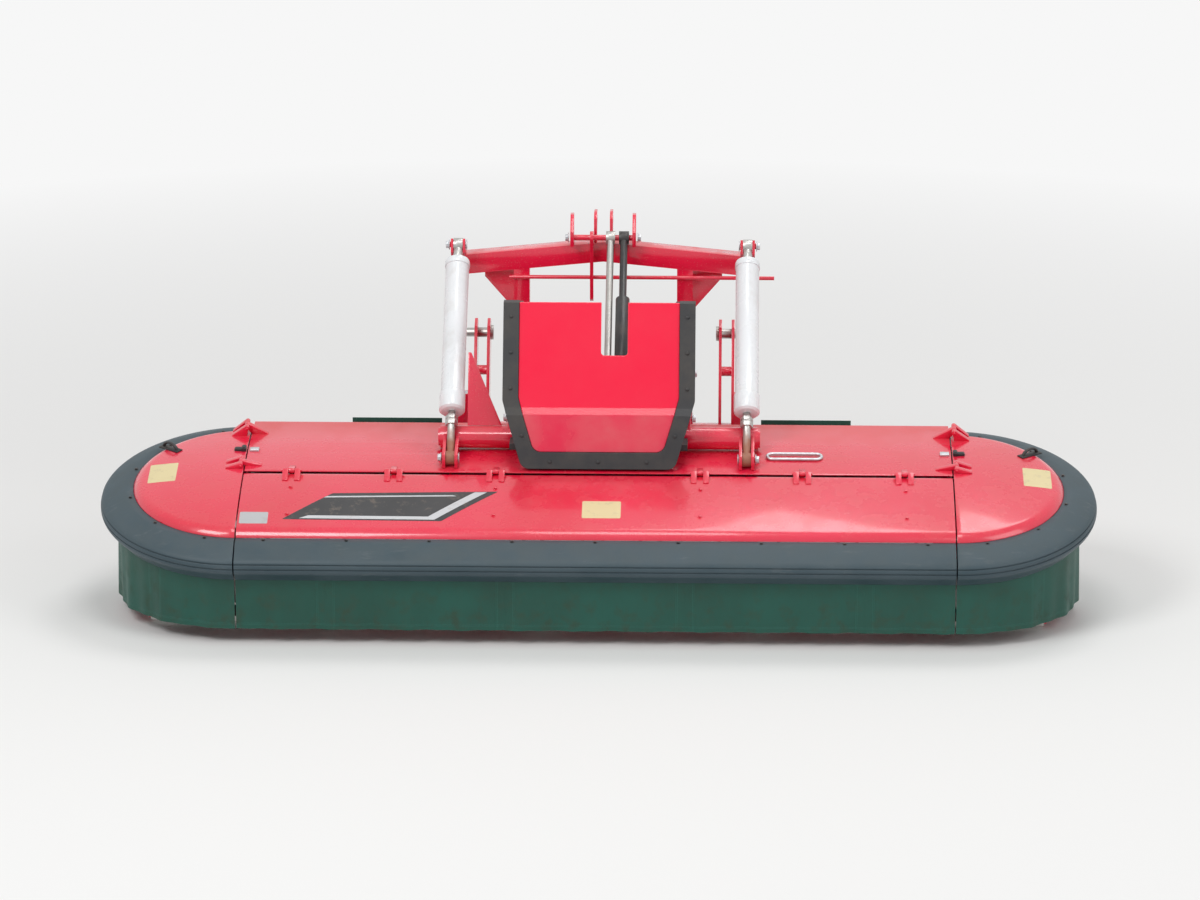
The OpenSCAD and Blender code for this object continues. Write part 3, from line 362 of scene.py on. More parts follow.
# Ribs and lips under the lid
# Four strips of steel stand on edge, welded under the lid, and its two ends are turned down at
# the seams.
rib_x, rib_near, rib_far, rib_deep, rib_t = (-1.2, -0.4, 0.4, 1.2), -0.046, -0.372, 0.028, 0.005
lip_in, lip_near, lip_far, lip_deep, lip_t = 0.002, -0.030, -0.384, 0.024, 0.0038
weld_in, end_cut, end_share = 0.0010, 0.024, 0.3


def under_rib(x, near, far, depth, thick):
    """A strip on edge below the hood's arc at x, from near to far along the slope, cut away at its ends."""
    def sheet_w(u):
        return arc_w(u, arc_r - sheet_t)

    cut = math.copysign(end_cut, far - near)
    steps = [near + (far - near) * i / 10 for i in range(11)]
    outline = [(u, sheet_w(u) + weld_in) for u in steps]
    outline += [(far, sheet_w(far) - depth * end_share), (far - cut, sheet_w(far - cut) - depth)]
    outline += [(u, sheet_w(u) - depth) for u in reversed(steps[1:-1])]
    outline += [(near + cut, sheet_w(near + cut) - depth), (near, sheet_w(near) - depth * end_share)]
    part = start_line("rib", x - thick / 2, *outline[0])
    for (y0, z0), (y1, z1) in zip(outline, outline[1:]):
        go(0, y1 - y0, z1 - z0)
    fill()
    draw_out(thick, 0)
    bpy.ops.object.mode_set(mode="OBJECT")
    return part


def fill():
    """Closes the outline drawn so far with a face."""
    select_mesh()
    bpy.ops.mesh.edge_face_add()


def joined(name, parts):
    """Makes one piece of several that are fixed together."""
    if bpy.context.mode != "OBJECT":
        bpy.ops.object.mode_set(mode="OBJECT")
    select_nothing()
    for part in parts:
        part.select_set(True)
    bpy.context.view_layer.objects.active = parts[0]
    if len(parts) > 1:
        bpy.ops.object.join()
    parts[0].name = parts[0].data.name = name
    return parts[0]


ribs = [under_rib(x, rib_near, rib_far, rib_deep, rib_t) for x in rib_x]
ribs += [under_rib(side * (seam_x - lip_in), lip_near, lip_far, lip_deep, lip_t) for side in (-1, 1)]
ribs = joined("lid_ribs", ribs)
tilted(ribs)
complete(ribs, hood_red, "front_guard")

# Fixed rear of the hood
# The same sheet on the other side of the hinges, rolled down behind, with slots for the four ribs
# of the frame and a bay for the gearbox.
slot_x, slot_front, slot_back = ((0.290, 0.310), (0.572, 0.592)), -0.164, -0.072
bay_half, bay_front = 0.135, 0.080
deck = hood_line("hood_rear", -seam_x, deck_edge, rear_r, 1, rear_roll_degrees)
draw_out(2 * seam_x, 0)
tilted(deck)
edit_all(deck)
for x in sorted(side * edge for side in (-1, 1) for edge in (bay_half, *slot_x[0], *slot_x[1])):
    cut_across("x", x)
for y in (slot_front, slot_back, bay_front):
    cut_across("y", y)


def in_opening(face):
    x, y = abs(face.center.x), face.center.y
    in_slot = any(low < x < high for low, high in slot_x) and slot_front < y < slot_back
    return in_slot or (x < bay_half and y > bay_front)


select_faces(deck, in_opening)
bpy.ops.mesh.delete(type="FACE")
thicken(deck)
complete(deck, hood_red, "root", ["hood_deck"])

# Domed end caps
# Each guard's top is half a turn of the hood's section, pressed in one piece with a lip turned down
# at the seam, and lifts about two hinges there.
sides = ((-1, "left"), (1, "right"))
cap_sheets = {}
for side, word in sides:
    cap = hood_line("end_cap_" + word, side * cap_x, 0.0, flat_r, -1, front_roll_degrees)
    select_mesh()
    arc((side * cap_x, 0, 0), side * 180, 56, axis=(0, 0, 1))
    merge_doubles()
    face_outwards()
    thicken(cap)
    tilted(cap)
    complete(cap, hood_red, word + "_guard", ["cap_" + word])
    cap_sheets[side] = cap
for side, word in sides:
    lip = joined("cap_lip_" + word, [
        under_rib(side * (cap_x + lip_in), lip_far, -lip_far, lip_deep, lip_t)])
    tilted(lip)
    complete(lip, hood_red, word + "_guard")

# Hinges of the lid and of the end guards
# Folded steel straps, welded to the sheets and rolled round a pin, painted with the hood. The middle
# knuckle is the fixed hood's and the two beside it are the guard's.
hinge_w, lid_u, lid_hinge_x = 0.047, -0.010, (-1.2, -0.8, -0.4, 0.4, 0.8, 1.2)
cap_hinge_x, cap_hinge_u = 1.405, (0.060, 0.370)
knuckle_w, knuckle_step, knuckle_r = 0.0225, 0.024, 0.0092
strap_reach, long_reach, strap_t, strap_lift, fold_in = 0.060, 0.082, 0.0030, 0.0006, 0.004
foot_lift, strap_edge = 0.0008, 0.0008
pin_r, pin_long, pin_dome = 0.005, 0.080, 0.002


def draw_strap(along, across):
    """From a strap's free end, over its thickness and up to the top of the knuckle."""
    go(0, 0, strap_t)
    go(*along, hinge_w + knuckle_r - across - strap_lift - strap_t)


def finish_strap(part, x, y):
    """Fills the outline, draws it out to a solid and breaks its edges."""
    fill()
    draw_out(x, y)
    break_edges(part, strap_edge)
    return part


def lid_strap(x, lean):
    """A knuckle across the hood's slope; lean says on which side of the pin its strap lies."""
    end_u = lid_u + lean * strap_reach
    part = start_line("strap", x - knuckle_w / 2, end_u, arc_w(end_u) + strap_lift)
    draw_strap((0, -lean * (strap_reach - fold_in)), arc_w(end_u))
    arc((x, lid_u, hinge_w), lean * 200, 12)
    return finish_strap(part, knuckle_w, 0)


def cap_strap(side, u, lean):
    """A knuckle along the seam; lean is 1 on the guard's side of the pin and -1 on the hood's."""
    x, end_w = side * cap_hinge_x, arc_w(math.hypot(u, strap_reach))
    reach, foot_in, foot_out = (strap_reach, 0.013, 0.006) if lean > 0 else (long_reach, 0.0, -0.024)
    part = start_line("strap", x + side * lean * reach, u - knuckle_w / 2, end_w + strap_lift)
    draw_strap((-side * lean * (reach - fold_in), 0), end_w)
    arc((x, u, hinge_w), -side * lean * 170, 10, axis=(0, 1, 0))
    go(side * foot_out, 0, arc_w(math.hypot(u, foot_in)) + foot_lift - hinge_w + 0.0085)
    return finish_strap(part, 0, knuckle_w)


def hinge_pin(place, across):
    """A turned pin with a domed head at each end."""
    select_nothing()
    bpy.ops.mesh.primitive_cylinder_add(vertices=24, radius=pin_r, depth=pin_long, location=place,
                                        rotation=(0, math.pi / 2, 0) if across else (math.pi / 2, 0, 0))
    part = bpy.context.object
    bpy.ops.object.transform_apply()
    break_edges(part, pin_dome, segments=3)
    return part


moving = joined("hinge_straps_lid", [
    lid_strap(x + s * knuckle_step, -1) for x in lid_hinge_x for s in (-1, 1)])
tilted(moving)
complete(moving, hood_red, "front_guard")
straps = [lid_strap(x, 1) for x in lid_hinge_x]
straps += [hinge_pin((x, lid_u, hinge_w), True) for x in lid_hinge_x]
for side, word in sides:
    for u in cap_hinge_u:
        straps += [cap_strap(side, u, -1), hinge_pin((side * cap_hinge_x, u, hinge_w), False)]
fixed = joined("hinge_straps_hood", straps)
tilted(fixed)
complete(fixed, hood_red, "root")
for side, word in sides:
    moving = joined("hinge_straps_" + word, [
        cap_strap(side, u + s * knuckle_step, 1) for u in cap_hinge_u for s in (-1, 1)])
    tilted(moving)
    complete(moving, hood_red, word + "_guard")

# Bumper
# A thick moulded plastic profile that runs all the way round the front and both ends, with a bead
# between two grooves along its nose. It is bolted on in three lengths.
def bumper_plastic(name):
    dark, light, dirt = (0.037, 0.064, 0.080), (0.054, 0.082, 0.099), (0.15, 0.15, 0.13)
    rubber = Finish(name, (0.046, 0.074, 0.090), roughness=0.5, specular=0.4)
    cloud = rubber.between(rubber.noise(5.0, 4.0), 0.35, 0.7)
    scuffs = rubber.between(rubber.noise(30.0, 5.0, 0.7, (0.25, 1, 1)), 0.60, 0.72)
    film = rubber.between(rubber.facing_up(), 0.1, 0.9) * rubber.between(rubber.noise(12.0, 5.0), 0.3, 0.75)
    colour = rubber.blend(film * 0.20, rubber.blend(cloud, dark, light), dirt)
    rubber.feed("Base Color", rubber.blend(scuffs * 0.22, colour, (0.17, 0.19, 0.20)))
    rubber.feed("Roughness", 0.44 + cloud * 0.12 + film * 0.2 - scuffs * 0.1)
    rubber.bump(rubber.noise(420.0, 2.0) + rubber.noise(60.0, 2.0) * 0.6, 0.0006, 0.35)
    return rubber.material


bumper_finish = bumper_plastic("bumper_plastic")
bumper_in, bumper_top, bumper_low, under_r = 0.43158, -0.02243, -0.16043, 0.516
nose_r, nose_w, nose_round, nose_end_w = 0.528, -0.08443, 0.034, -0.1239
groove_deep, groove_wide, inner_run, flat_run, low_run = 0.004, 0.005, 0.020, 0.016, (0.029, 0.020)
nose_turns, first_turn = ((42, True), (26, True), (62, False)), 70


def bumper_line(name, x):
    """The bumper's closed section at x, from its inner top over the nose to its flat underside."""
    part = start_line(name, x, -bumper_in, bumper_top)
    go(0, -inner_run, 0.0008)
    go(0, -flat_run, 0.0002)
    first = math.radians(first_turn)
    reach = nose_r + nose_round * math.cos(first) - bumper_in - inner_run - flat_run
    go(0, -reach, nose_w + nose_round * math.sin(first) - bumper_top - 0.001)
    centre = (x, -nose_r, nose_w)
    for degrees, groove in nose_turns:
        arc(centre, degrees, max(4, degrees // 7))
        if groove:
            go(0, groove_deep, 0)
            go(0, 0, -groove_wide)
            go(0, -groove_deep, 0)
            centre = (x, centre[1], centre[2] - groove_wide)
    go(0, low_run[0], bumper_low - nose_end_w)
    go(0, low_run[1], 0)
    go(0, under_r - bumper_in - low_run[1], 0)
    return part


def bumper(name, body, node, x, sweep):
    """Draws the section at x, closes it, sweeps it, and rounds its edges."""
    part = bumper_line(name, x)
    fill()
    bpy.ops.mesh.delete(type="ONLY_FACE")
    select_mesh()
    sweep()
    merge_doubles()
    select_mesh()
    bpy.ops.mesh.fill_holes(sides=0)
    face_outwards()
    break_edges(part, 0.0022, 38)
    tilted(part)
    complete(part, bumper_finish, body, [node], smooth=40)


bumper("bumper_straight", "front_guard", "front_bumper", -seam_x, lambda: go(2 * seam_x, 0, 0))
for side, word in sides:
    bumper("bumper_end_" + word, word + "_guard", "bumper_" + word, side * cap_x,
           lambda: arc((side * cap_x, 0, 0), side * 180, 72, axis=(0, 0, 1)))

# Canvas skirts
# Coated teal cloth, hung from under the bumper all round to stop stones, cut in widths that are
# sewn together with a folded hem along the bottom. It hangs in shallow waves.
half_width, lap_at, lap_half, hem_high = 0.347, 0.328, 0.018, 0.026
seam_rows, hem_rows, stitch_half = (0.3120, 0.3175), (0.0225, 0.0175), 0.0008
stitches_per_m, stitch_gap, threads_per_m = 180.0, 0.35, 160.0


def teal_canvas(name):
    deep, pale = (0.0025, 0.058, 0.038), (0.004, 0.085, 0.060)
    thread, soil = (0.02, 0.16, 0.12), (0.060, 0.050, 0.028)
    cloth = Finish(name, (0.003, 0.065, 0.045), roughness=0.62)
    weave = cloth.node("ShaderNodeTexCoord", out="UV")
    along_edge, up_edge = cloth.part_of(weave, "X"), cloth.part_of(weave, "Y")

    def maths(operation, value, second=0.0):
        return cloth.node("ShaderNodeMath", {"operation": operation}, {0: value, 1: second})

    def near(value, size):
        return maths("ABSOLUTE", value) < size

    def threads(direction):
        return cloth.node("ShaderNodeTexWave", {"bands_direction": direction},
                          {"Vector": weave, "Scale": threads_per_m})

    width = maths("PINGPONG", along_edge, half_width)
    hem, lap = near(up_edge, hem_high), near(width - lap_at, lap_half)
    along_stitch = maths("FRACT", along_edge * stitches_per_m) > stitch_gap
    up_stitch = maths("FRACT", up_edge * stitches_per_m) > stitch_gap
    rows = near(up_edge - hem_rows[0], stitch_half) * along_stitch
    rows = rows + near(up_edge - hem_rows[1], stitch_half) * along_stitch
    rows = rows + near(width - seam_rows[0], stitch_half) * up_stitch
    rows = rows + near(width - seam_rows[1], stitch_half) * up_stitch
    cloud = cloth.between(cloth.noise(4.0, 4.0), 0.3, 0.7)
    mud = cloth.between(cloth.noise(14.0, 6.0, 0.65), 0.50, 0.70)
    mud = mud * cloth.between(cloth.part_of(cloth.place(), "Z"), 0.05, 0.26, 1.0, 0.25)
    colour = cloth.blend(rows * 0.6, cloth.blend(cloud, deep, pale), thread)
    cloth.feed("Base Color", cloth.blend(mud * 0.55, colour, soil))
    cloth.feed("Roughness", 0.50 + mud * 0.35 + cloud * 0.08)
    cloth.bump((threads("X") + threads("Y")) * 0.6 + cloth.noise(18.0, 4.0) * 2.0 + hem * 3.0
               + lap * 3.0 - rows * 1.5, 0.0005, 0.6)
    return cloth.material


canvas = teal_canvas("teal_canvas")
skirt_t, skirt_low, front_high, front_line = 0.0025, 0.060, 0.202, -0.788
end_y, end_r = -0.29374, 0.49426
wave_slow, wave_fast, wave_start = (0.0045, 27.0), (0.0035, 61.0), 1.3


def cloth_strip(name, width, height, across, up):
    """A flat grid of cloth standing on its lower edge, with its own UV map in metres."""
    select_nothing()
    bpy.ops.mesh.primitive_grid_add(x_subdivisions=across, y_subdivisions=up, size=1.0,
                                    calc_uvs=True)
    part = bpy.context.object
    part.name = part.data.name = name
    part.scale = (width, height, 1.0)
    part.location = (width / 2, height / 2, 0.0)
    bpy.ops.object.transform_apply()
    for loop, corner in zip(part.data.loops, part.data.uv_layers.active.data):
        corner.uv = part.data.vertices[loop.vertex_index].co.xy
    return part


def skirt_wave(along, drop):
    """How far the cloth stands off its line, along its length and by its share of the way down."""
    slow = wave_slow[0] * math.sin(along * wave_slow[1])
    fast = wave_fast[0] * math.sin(along * wave_fast[1] + wave_start)
    return max(0.0, drop) ** 0.7 * (slow + fast)


front = cloth_strip("skirt_front", 2 * seam_x, front_high, 220, 12)
for v in front.data.vertices:
    along, up = v.co.x, v.co.y
    v.co = (along - seam_x, front_line + skirt_wave(along, 1 - up / front_high), skirt_low + up)
with_modifier(front, "SOLIDIFY", thickness=skirt_t, offset=0)
complete(front, canvas, "front_guard", ["front_skirt"], smooth=60)


def skirt_top(y):
    """Height of the bumper's flat underside over the ground at depth y."""
    return deck_z + (bumper_low - 0.0008 + (y - deck_y) * math.sin(deck_tilt)) / math.cos(deck_tilt)


def end_skirt(side, name, body, node):
    part = cloth_strip(name, math.pi * end_r, 1.0, 130, 14)
    for v in part.data.vertices:
        along, share = v.co.x, v.co.y
        turn = along / end_r - math.pi / 2
        out = end_r + skirt_wave(along, 1 - share) * min(1.0, along * 12.0)
        x, y = side * (cap_x + out * math.cos(turn)), end_y + out * math.sin(turn)
        base_y = end_y + end_r * math.sin(turn)
        v.co = (x, y, skirt_low + share * (skirt_top(base_y) - skirt_low))
    for loop, corner in zip(part.data.loops, part.data.uv_layers.active.data):
        corner.uv = (corner.uv[0], part.data.vertices[loop.vertex_index].co.z - skirt_low)
    with_modifier(part, "SOLIDIFY", thickness=skirt_t, offset=0)
    complete(part, canvas, body, [node], smooth=60)


for side, word in sides:
    end_skirt(side, "skirt_end_" + word, word + "_guard", "skirt_" + word)

# Rear flaps
# Two lengths of the same canvas, one on each side, that hang down behind the hood's rear roll to
# stop what the rotor throws.
flap_low, flap_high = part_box("rear_canvas")
flap_in, flap_wide, flap_long = 0.640, 0.360, flap_high.z - flap_low.z
for side, word in sides:
    flap = cloth_strip("rear_flap_" + word, flap_wide, flap_long, 40, 40)
    for v in flap.data.vertices:
        along, up = v.co.x, v.co.y
        wave = max(0.0, skirt_wave(along, 1 - up / flap_long))
        v.co = (side * (flap_in + along), (flap_low.y + flap_high.y) / 2 + wave * 0.6, flap_low.z + up)
    with_modifier(flap, "SOLIDIFY", thickness=skirt_t, offset=0)
    complete(flap, canvas, "root", ["rear_canvas"], smooth=60)

# Frame, headstock and arms
# Welded steel plate and square tube, cut with square edges that the paint has rounded over. Each
# keeps the drawing's shape; only its edges are broken and its round faces smoothed.
def painted_over(name, node, body, material, edge=0.0015, sharp=38):
    """A copy of a node's mesh, merged, with its edges broken, that stands for the node."""
    part = bpy.data.objects.new(name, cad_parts[node].data.copy())
    bpy.context.scene.collection.objects.link(part)
    edit_all(part)
    bpy.ops.mesh.select_mode(type="VERT")
    merge_doubles()
    bpy.ops.mesh.dissolve_limited(angle_limit=math.radians(0.6))
    pick(part)
    if part.data.has_custom_normals:
        bpy.ops.mesh.customdata_custom_splitnormals_clear()
    break_edges(part, edge, sharp)
    complete(part, material, body, [node], smooth=sharp)


for node in ("main_frame", "side_frame_left", "side_frame_right", "cross_tube", "gearbox", "drive_case",
             "lower_arms", "arm_guard", "headstock", "top_bracket"):
    painted_over(node + "_painted", node, "root", frame_red, 0.002)

# Shield over the drive
# A moulded panel in a clearer red than the steel, glossy, and set in a black frame. Painted shade
# deepens its red above its shoulder, and a painted sheen makes it a little paler below, where dust settles.
shoulder_high, shoulder_low = 0.800, 0.770
# The upper red is a painted shade and the lower red a painted sheen; below the shoulder the dust is thicker
# too.
shield_shaded_red, shield_sheen_red, shield_dust = (0.90, 0.002, 0.046), (0.74, 0.016, 0.065), (0.60, 0.34, 0.30)
shield_red = Finish("shield_red", (0.84, 0.003, 0.045), specular=0.30, roughness=0.25,
                    coat_roughness=0.10)
sheen_and_dust_below = shield_red.between(shield_red.part_of(shield_red.place(), "Z"), shoulder_high, shoulder_low)
haze = shield_red.between(shield_red.noise(5.0, 5.0), 0.35, 0.75) * (0.03 + sheen_and_dust_below * 0.25)
shield_red.feed("Base Color", shield_red.blend(
    haze, shield_red.blend(sheen_and_dust_below, shield_shaded_red, shield_sheen_red), shield_dust))
shield_red.feed("Roughness", 0.24 + haze * 0.6)
shield_red.feed("Coat Weight", 0.30 - haze * 0.3)
shield_red.bump(shield_red.noise(260.0, 2.0), 0.0002, 0.3)
painted_over("shield_panel_painted", "shield_panel", "root", shield_red.material, 0.0025, 13)

# Discs, rotor and other working steel
# Forged and rolled steel, polished bright where the crop slides over it and dull brown in between.
# The springs' rods are ground bright, with old grease round their lower ends.
def worn_steel(name, rust):
    metal = Finish(name, (0.42, 0.41, 0.39), metallic=0.9, roughness=0.45)
    patch = metal.between(metal.noise(7.0, 6.0, 0.65), 0.44, 0.64)
    grain = metal.noise(60.0, 3.0, 0.6, (1, 1, 4))
    stain = patch * rust
    colour = metal.blend(grain, (0.34, 0.33, 0.31), (0.52, 0.51, 0.49))
    metal.feed("Base Color", metal.blend(stain, colour, (0.10, 0.052, 0.028)))
    metal.feed("Metallic", 0.95 - stain * 0.8)
    metal.feed("Roughness", 0.30 + grain * 0.15 + stain * 0.4)
    metal.bump(grain + patch * 0.8, 0.0004, 0.4)
    return metal.material


steel_edge, thin_edge = 0.0012, 0.0010
steel = worn_steel("worn_steel", 0.75)
bright = worn_steel("bright_steel", 0.12)
for node in ("conditioner_hood", "cutterbar", "skid_shoes"):
    painted_over(node + "_steel", node, "root", steel, steel_edge)
for node in ("hitch_pins", "top_link"):
    painted_over(node + "_steel", node, "root", bright, steel_edge)

ground, ground_pale, old_grease = (0.40, 0.39, 0.37), (0.56, 0.55, 0.53), (0.30, 0.085, 0.028)
grease_high, grease_low = 0.735, 0.685
greased = Finish("greased_steel", (0.46, 0.45, 0.43), metallic=0.9, roughness=0.4)
height = greased.part_of(greased.place(), "Z")
grease = greased.between(height + greased.noise(30.0, 4.0) * 0.06, grease_high, grease_low)
fine = greased.noise(60.0, 3.0, 0.6, (1, 1, 4))
greased.feed("Base Color", greased.blend(
    grease * 0.85, greased.blend(fine, ground, ground_pale), old_grease))
greased.feed("Metallic", 0.92 - grease * 0.8)
greased.feed("Roughness", 0.28 + fine * 0.12 + grease * 0.25)
greased.bump(fine + grease * 0.6, 0.0004, 0.4)
painted_over("spring_rods_steel", "spring_rods", "root", greased.material, steel_edge)
painted_over("rotor_steel", "rotor", "conditioner", steel, steel_edge)
painted_over("rotor_tines_steel", "rotor_tines", "conditioner", bright, thin_edge)
painted_over("pto_input_steel", "pto_input", "drive_input", bright, thin_edge)
for i in range(1, 9):
    painted_over("disc_%d_steel" % i, "disc_%d" % i, "disc_body_%d" % i, steel, thin_edge)

# Springs, plastic and zinc
# Silver painted spring tubes, moulded black plastic round the shield, zinc on the legs and the loop,
# and the swath boards in the frame's red.
def pale_paint(name):
    paint = Finish(name, (0.84, 0.86, 0.88), roughness=0.3)
    cloud = paint.between(paint.noise(6.0, 5.0, 0.6), 0.4, 0.75)
    streak = paint.between(paint.noise(16.0, 4.0, 0.6, (1, 1, 0.15)), 0.52, 0.74)
    colour = paint.blend(cloud, (0.82, 0.84, 0.86), (0.75, 0.77, 0.79))
    paint.feed("Base Color", paint.blend(streak * 0.22, colour, (0.42, 0.36, 0.29)))
    paint.feed("Roughness", 0.24 + cloud * 0.14 + streak * 0.2)
    paint.feed("Coat Weight", 0.4 - streak * 0.3)
    paint.bump(paint.noise(260.0, 2.0), 0.0002, 0.3)
    return paint.material


def black_plastic(name, dullness):
    plastic = Finish(name, (0.022, 0.022, 0.024), roughness=dullness)
    film = plastic.between(plastic.noise(10.0, 5.0, 0.6), 0.42, 0.75) * plastic.between(
        plastic.facing_up(), -0.1, 0.9, 0.25, 1.0)
    plastic.feed("Base Color", plastic.blend(film * 0.4, (0.020, 0.020, 0.022), (0.15, 0.13, 0.105)))
    plastic.feed("Roughness", dullness + film * 0.3)
    plastic.bump(plastic.noise(380.0, 2.0), 0.0004, 0.4)
    return plastic.material


def zinc(name):
    dull, pale = (0.48, 0.50, 0.52), (0.68, 0.70, 0.72)
    metal = Finish(name, (0.6, 0.62, 0.64), metallic=0.85, roughness=0.42)
    spangle = metal.node("ShaderNodeTexVoronoi", {}, {"Vector": metal.place(), "Scale": 90.0})
    cloud = metal.noise(8.0, 4.0)
    metal.feed("Base Color", metal.blend(spangle * 0.6 + cloud * 0.4, dull, pale))
    metal.feed("Roughness", 0.32 + cloud * 0.25)
    metal.bump(metal.noise(120.0, 3.0), 0.0002, 0.3)
    return metal.material


spring_paint, galvanised = pale_paint("spring_paint"), zinc("galvanised")
mould, gloss_black = black_plastic("black_plastic", 0.5), black_plastic("black_paint", 0.3)
painted_over("spring_tubes_painted", "spring_tubes", "root", spring_paint, 0.004)
painted_over("shield_frame_moulded", "shield_frame", "root", mould, 0.004, 13)
painted_over("cross_shaft_guard", "cross_shaft", "root", mould, 0.002)
painted_over("pto_guard_moulded", "pto_guard", "root", mould, 0.001)
painted_over("link_cylinder_painted", "link_cylinder", "root", gloss_black, 0.002)
painted_over("loop_handle_zinc", "loop_handle", "root", galvanised, 0.0005)
for side, word in sides:
    painted_over("stand_%s_zinc" % word, "stand_" + word, "stand_%s_leg" % word, galvanised,
                 0.002)
for side, word in sides:
    painted_over("swath_board_%s_painted" % word, "swath_board_" + word, "swath_" + word, frame_red)

# Bolts, nuts and pivot nuts
# Hexagon heads on washers, wherever plates, covers and the ribs are bolted together, and larger nuts
# on the ends of the pivot pins. They are zinc plated, but painted over on the hood and black on the
# bumper and the shield.
head_r, head_tall, washer_r, washer_t = 0.0092, 0.0072, 0.0125, 0.0020


def turned(vertices, radius, depth, up, edge, segments):
    """A short upright bar, standing on the origin, with its edges broken."""
    select_nothing()
    bpy.ops.mesh.primitive_cylinder_add(vertices=vertices, radius=radius, depth=depth, location=(0, 0, up))
    part = bpy.context.object
    bpy.ops.object.transform_apply()
    break_edges(part, edge, segments=segments)
    return part


bolt_head = joined("bolt_head", [turned(6, head_r, head_tall, 0.0050, 0.0011, 2),
                                 turned(18, washer_r, washer_t, 0.0006, 0.0004, 1)])


def bolts(name, body, places, size=1.0, material=galvanised):
    """Copies of the one head, each at its place and along its direction, as one piece."""
    made = []
    for place, along in places:
        one = bpy.data.objects.new(name, bolt_head.data.copy())
        bpy.context.scene.collection.objects.link(one)
        one.location, one.scale = place, (size, size, size)
        one.rotation_euler = Vector(along).to_track_quat("Z", "Y").to_euler()
        made.append(one)
    row = joined(name, made)
    bpy.ops.object.transform_apply()
    complete(row, material, body)


slope = Matrix.Rotation(deck_tilt, 3, "X")
up_slope, upright = slope @ Vector((0, 0, 1)), (0, 0, 1)


def from_level(x, u, w):
    """Where a point of the level hood lies on the machine."""
    return slope @ Vector((x, u, w)) + Vector((0, deck_y, deck_z))


def on_hood(x, u, side=0):
    """A place on the hood at x and u along its slope, and the way that faces out there."""
    centre = side * cap_x if side else x
    r = math.hypot(x - centre, u)
    up = math.sqrt(arc_r ** 2 - r * r)
    out = Vector(((x - centre) / arc_r, u / arc_r, up / arc_r))
    return from_level(x, u, up - arc_r + arc_rise), slope @ out


lid_bolt_x, lid_bolt_u = (-1.1975, -0.3975, 0.4025, 1.2025), (-0.12, -0.31)
deck_bolt_x, deck_bolt_u = (-0.582, -0.300, 0.300, 0.582), (0.30, 0.46)
bolts("lid_bolts", "front_guard", [on_hood(x, u) for x in lid_bolt_x for u in lid_bolt_u],
      0.8, hood_red)
bolts("hood_bolts", "root", [on_hood(x, u) for x in deck_bolt_x for u in deck_bolt_u],
      0.8, hood_red)

flange_r, flange_w = 0.449, bumper_top + 0.0006
flange_x, flange_turns = [0.32 * i for i in range(-4, 5)], (-75, -45, -15, 15, 45, 75)
bolts("bumper_bolts", "front_guard", [(from_level(x, -flange_r, flange_w), up_slope) for x in flange_x],
      0.65, gloss_black)
for side, word in sides:
    flange = [(side * (cap_x + flange_r * math.cos(turn)), flange_r * math.sin(turn))
              for turn in map(math.radians, flange_turns)]
    bolts("bumper_bolts_" + word, word + "_guard",
          [(from_level(x, u, flange_w), up_slope) for x, u in flange],
          0.65, gloss_black)

shield_line = ((0.548, 0.574), (0.606, 0.776), (0.630, 0.800), (0.806, 1.180))
hitch_y, shield_proud = 0.86, 0.008


def on_shield(x, z):
    """A place on the front face of the shield's moulded frame, and the way that faces out there."""
    for (d0, z0), (d1, z1) in zip(shield_line, shield_line[1:]):
        if z <= z1:
            break
    d = d0 + (d1 - d0) * (z - z0) / (z1 - z0) - shield_proud
    return Vector((x, d - hitch_y, z)), Vector((0, z0 - z1, d1 - d0)).normalized()


shield_places = [(x, 0.602) for x in (-0.19, 0, 0.19)] + [(x, 0.70) for x in (-0.300, 0.300)]
shield_places += [(x, z) for z in (0.87, 1.00, 1.13) for x in (-0.347, 0.347)]
bolts("shield_bolts", "root", [on_shield(x, z) for x, z in shield_places], 0.7, mould)

gear_low, gear_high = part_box("gearbox")
cover_y, cover_z, foot_z = 0.1739, gear_high.z - 0.0140, 0.5742
gear_places = [Vector((x, cover_y + y, cover_z)) for x in (-0.058, 0, 0.058) for y in (-0.037, 0.037)]
gear_places += [Vector((x, gear_low.y + y, foot_z)) for x in (-0.103, 0.103) for y in (0.05, 0.11)]
bolts("gearbox_bolts", "root", [(place, upright) for place in gear_places], 0.95)

bearing_x, bearing_y, bearing_z, bearing_r = -1.403, -0.0401, 0.350, 0.050
bearing_ring = [(bearing_y + bearing_r * math.cos(turn), bearing_z + bearing_r * math.sin(turn))
                for turn in (0.785, 2.356, 3.927, 5.498)]
bolts("bearing_bolts", "root", [(Vector((bearing_x, y, z)), (-1, 0, 0)) for y, z in bearing_ring])
bar_x, bar_y, bar_z = (-1.26, -0.84, -0.42, 0, 0.42, 0.84, 1.26), (-0.515, -0.345), 0.0636
bolts("cutterbar_bolts", "root", [(Vector((x, y, bar_z)), upright) for x in bar_x for y in bar_y])


def eyes(node, rise=0.027):
    """The middles of the two eyes of a piece that leans back: its low end and its high end."""
    low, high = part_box(node)
    return (low.y + rise, low.z + rise), (high.y - rise, high.z - rise)


def nuts(places, xs):
    return [(Vector((x, *place)), (math.copysign(1.0, x), 0, 0)) for x in xs for place in places]


link_low, link_high = eyes("top_link")
bolts("pivot_nuts", "root", nuts(eyes("spring_rods"), (-0.617, -0.547, 0.547, 0.617))
      + nuts(eyes("lower_arms"), (-0.366, 0.366)), 1.7)
bolts("link_nuts", "root", nuts([link_high], (-0.139, 0.139)) + nuts([link_low], (-0.131, 0.131)), 1.6)
bpy.data.objects.remove(bolt_head)

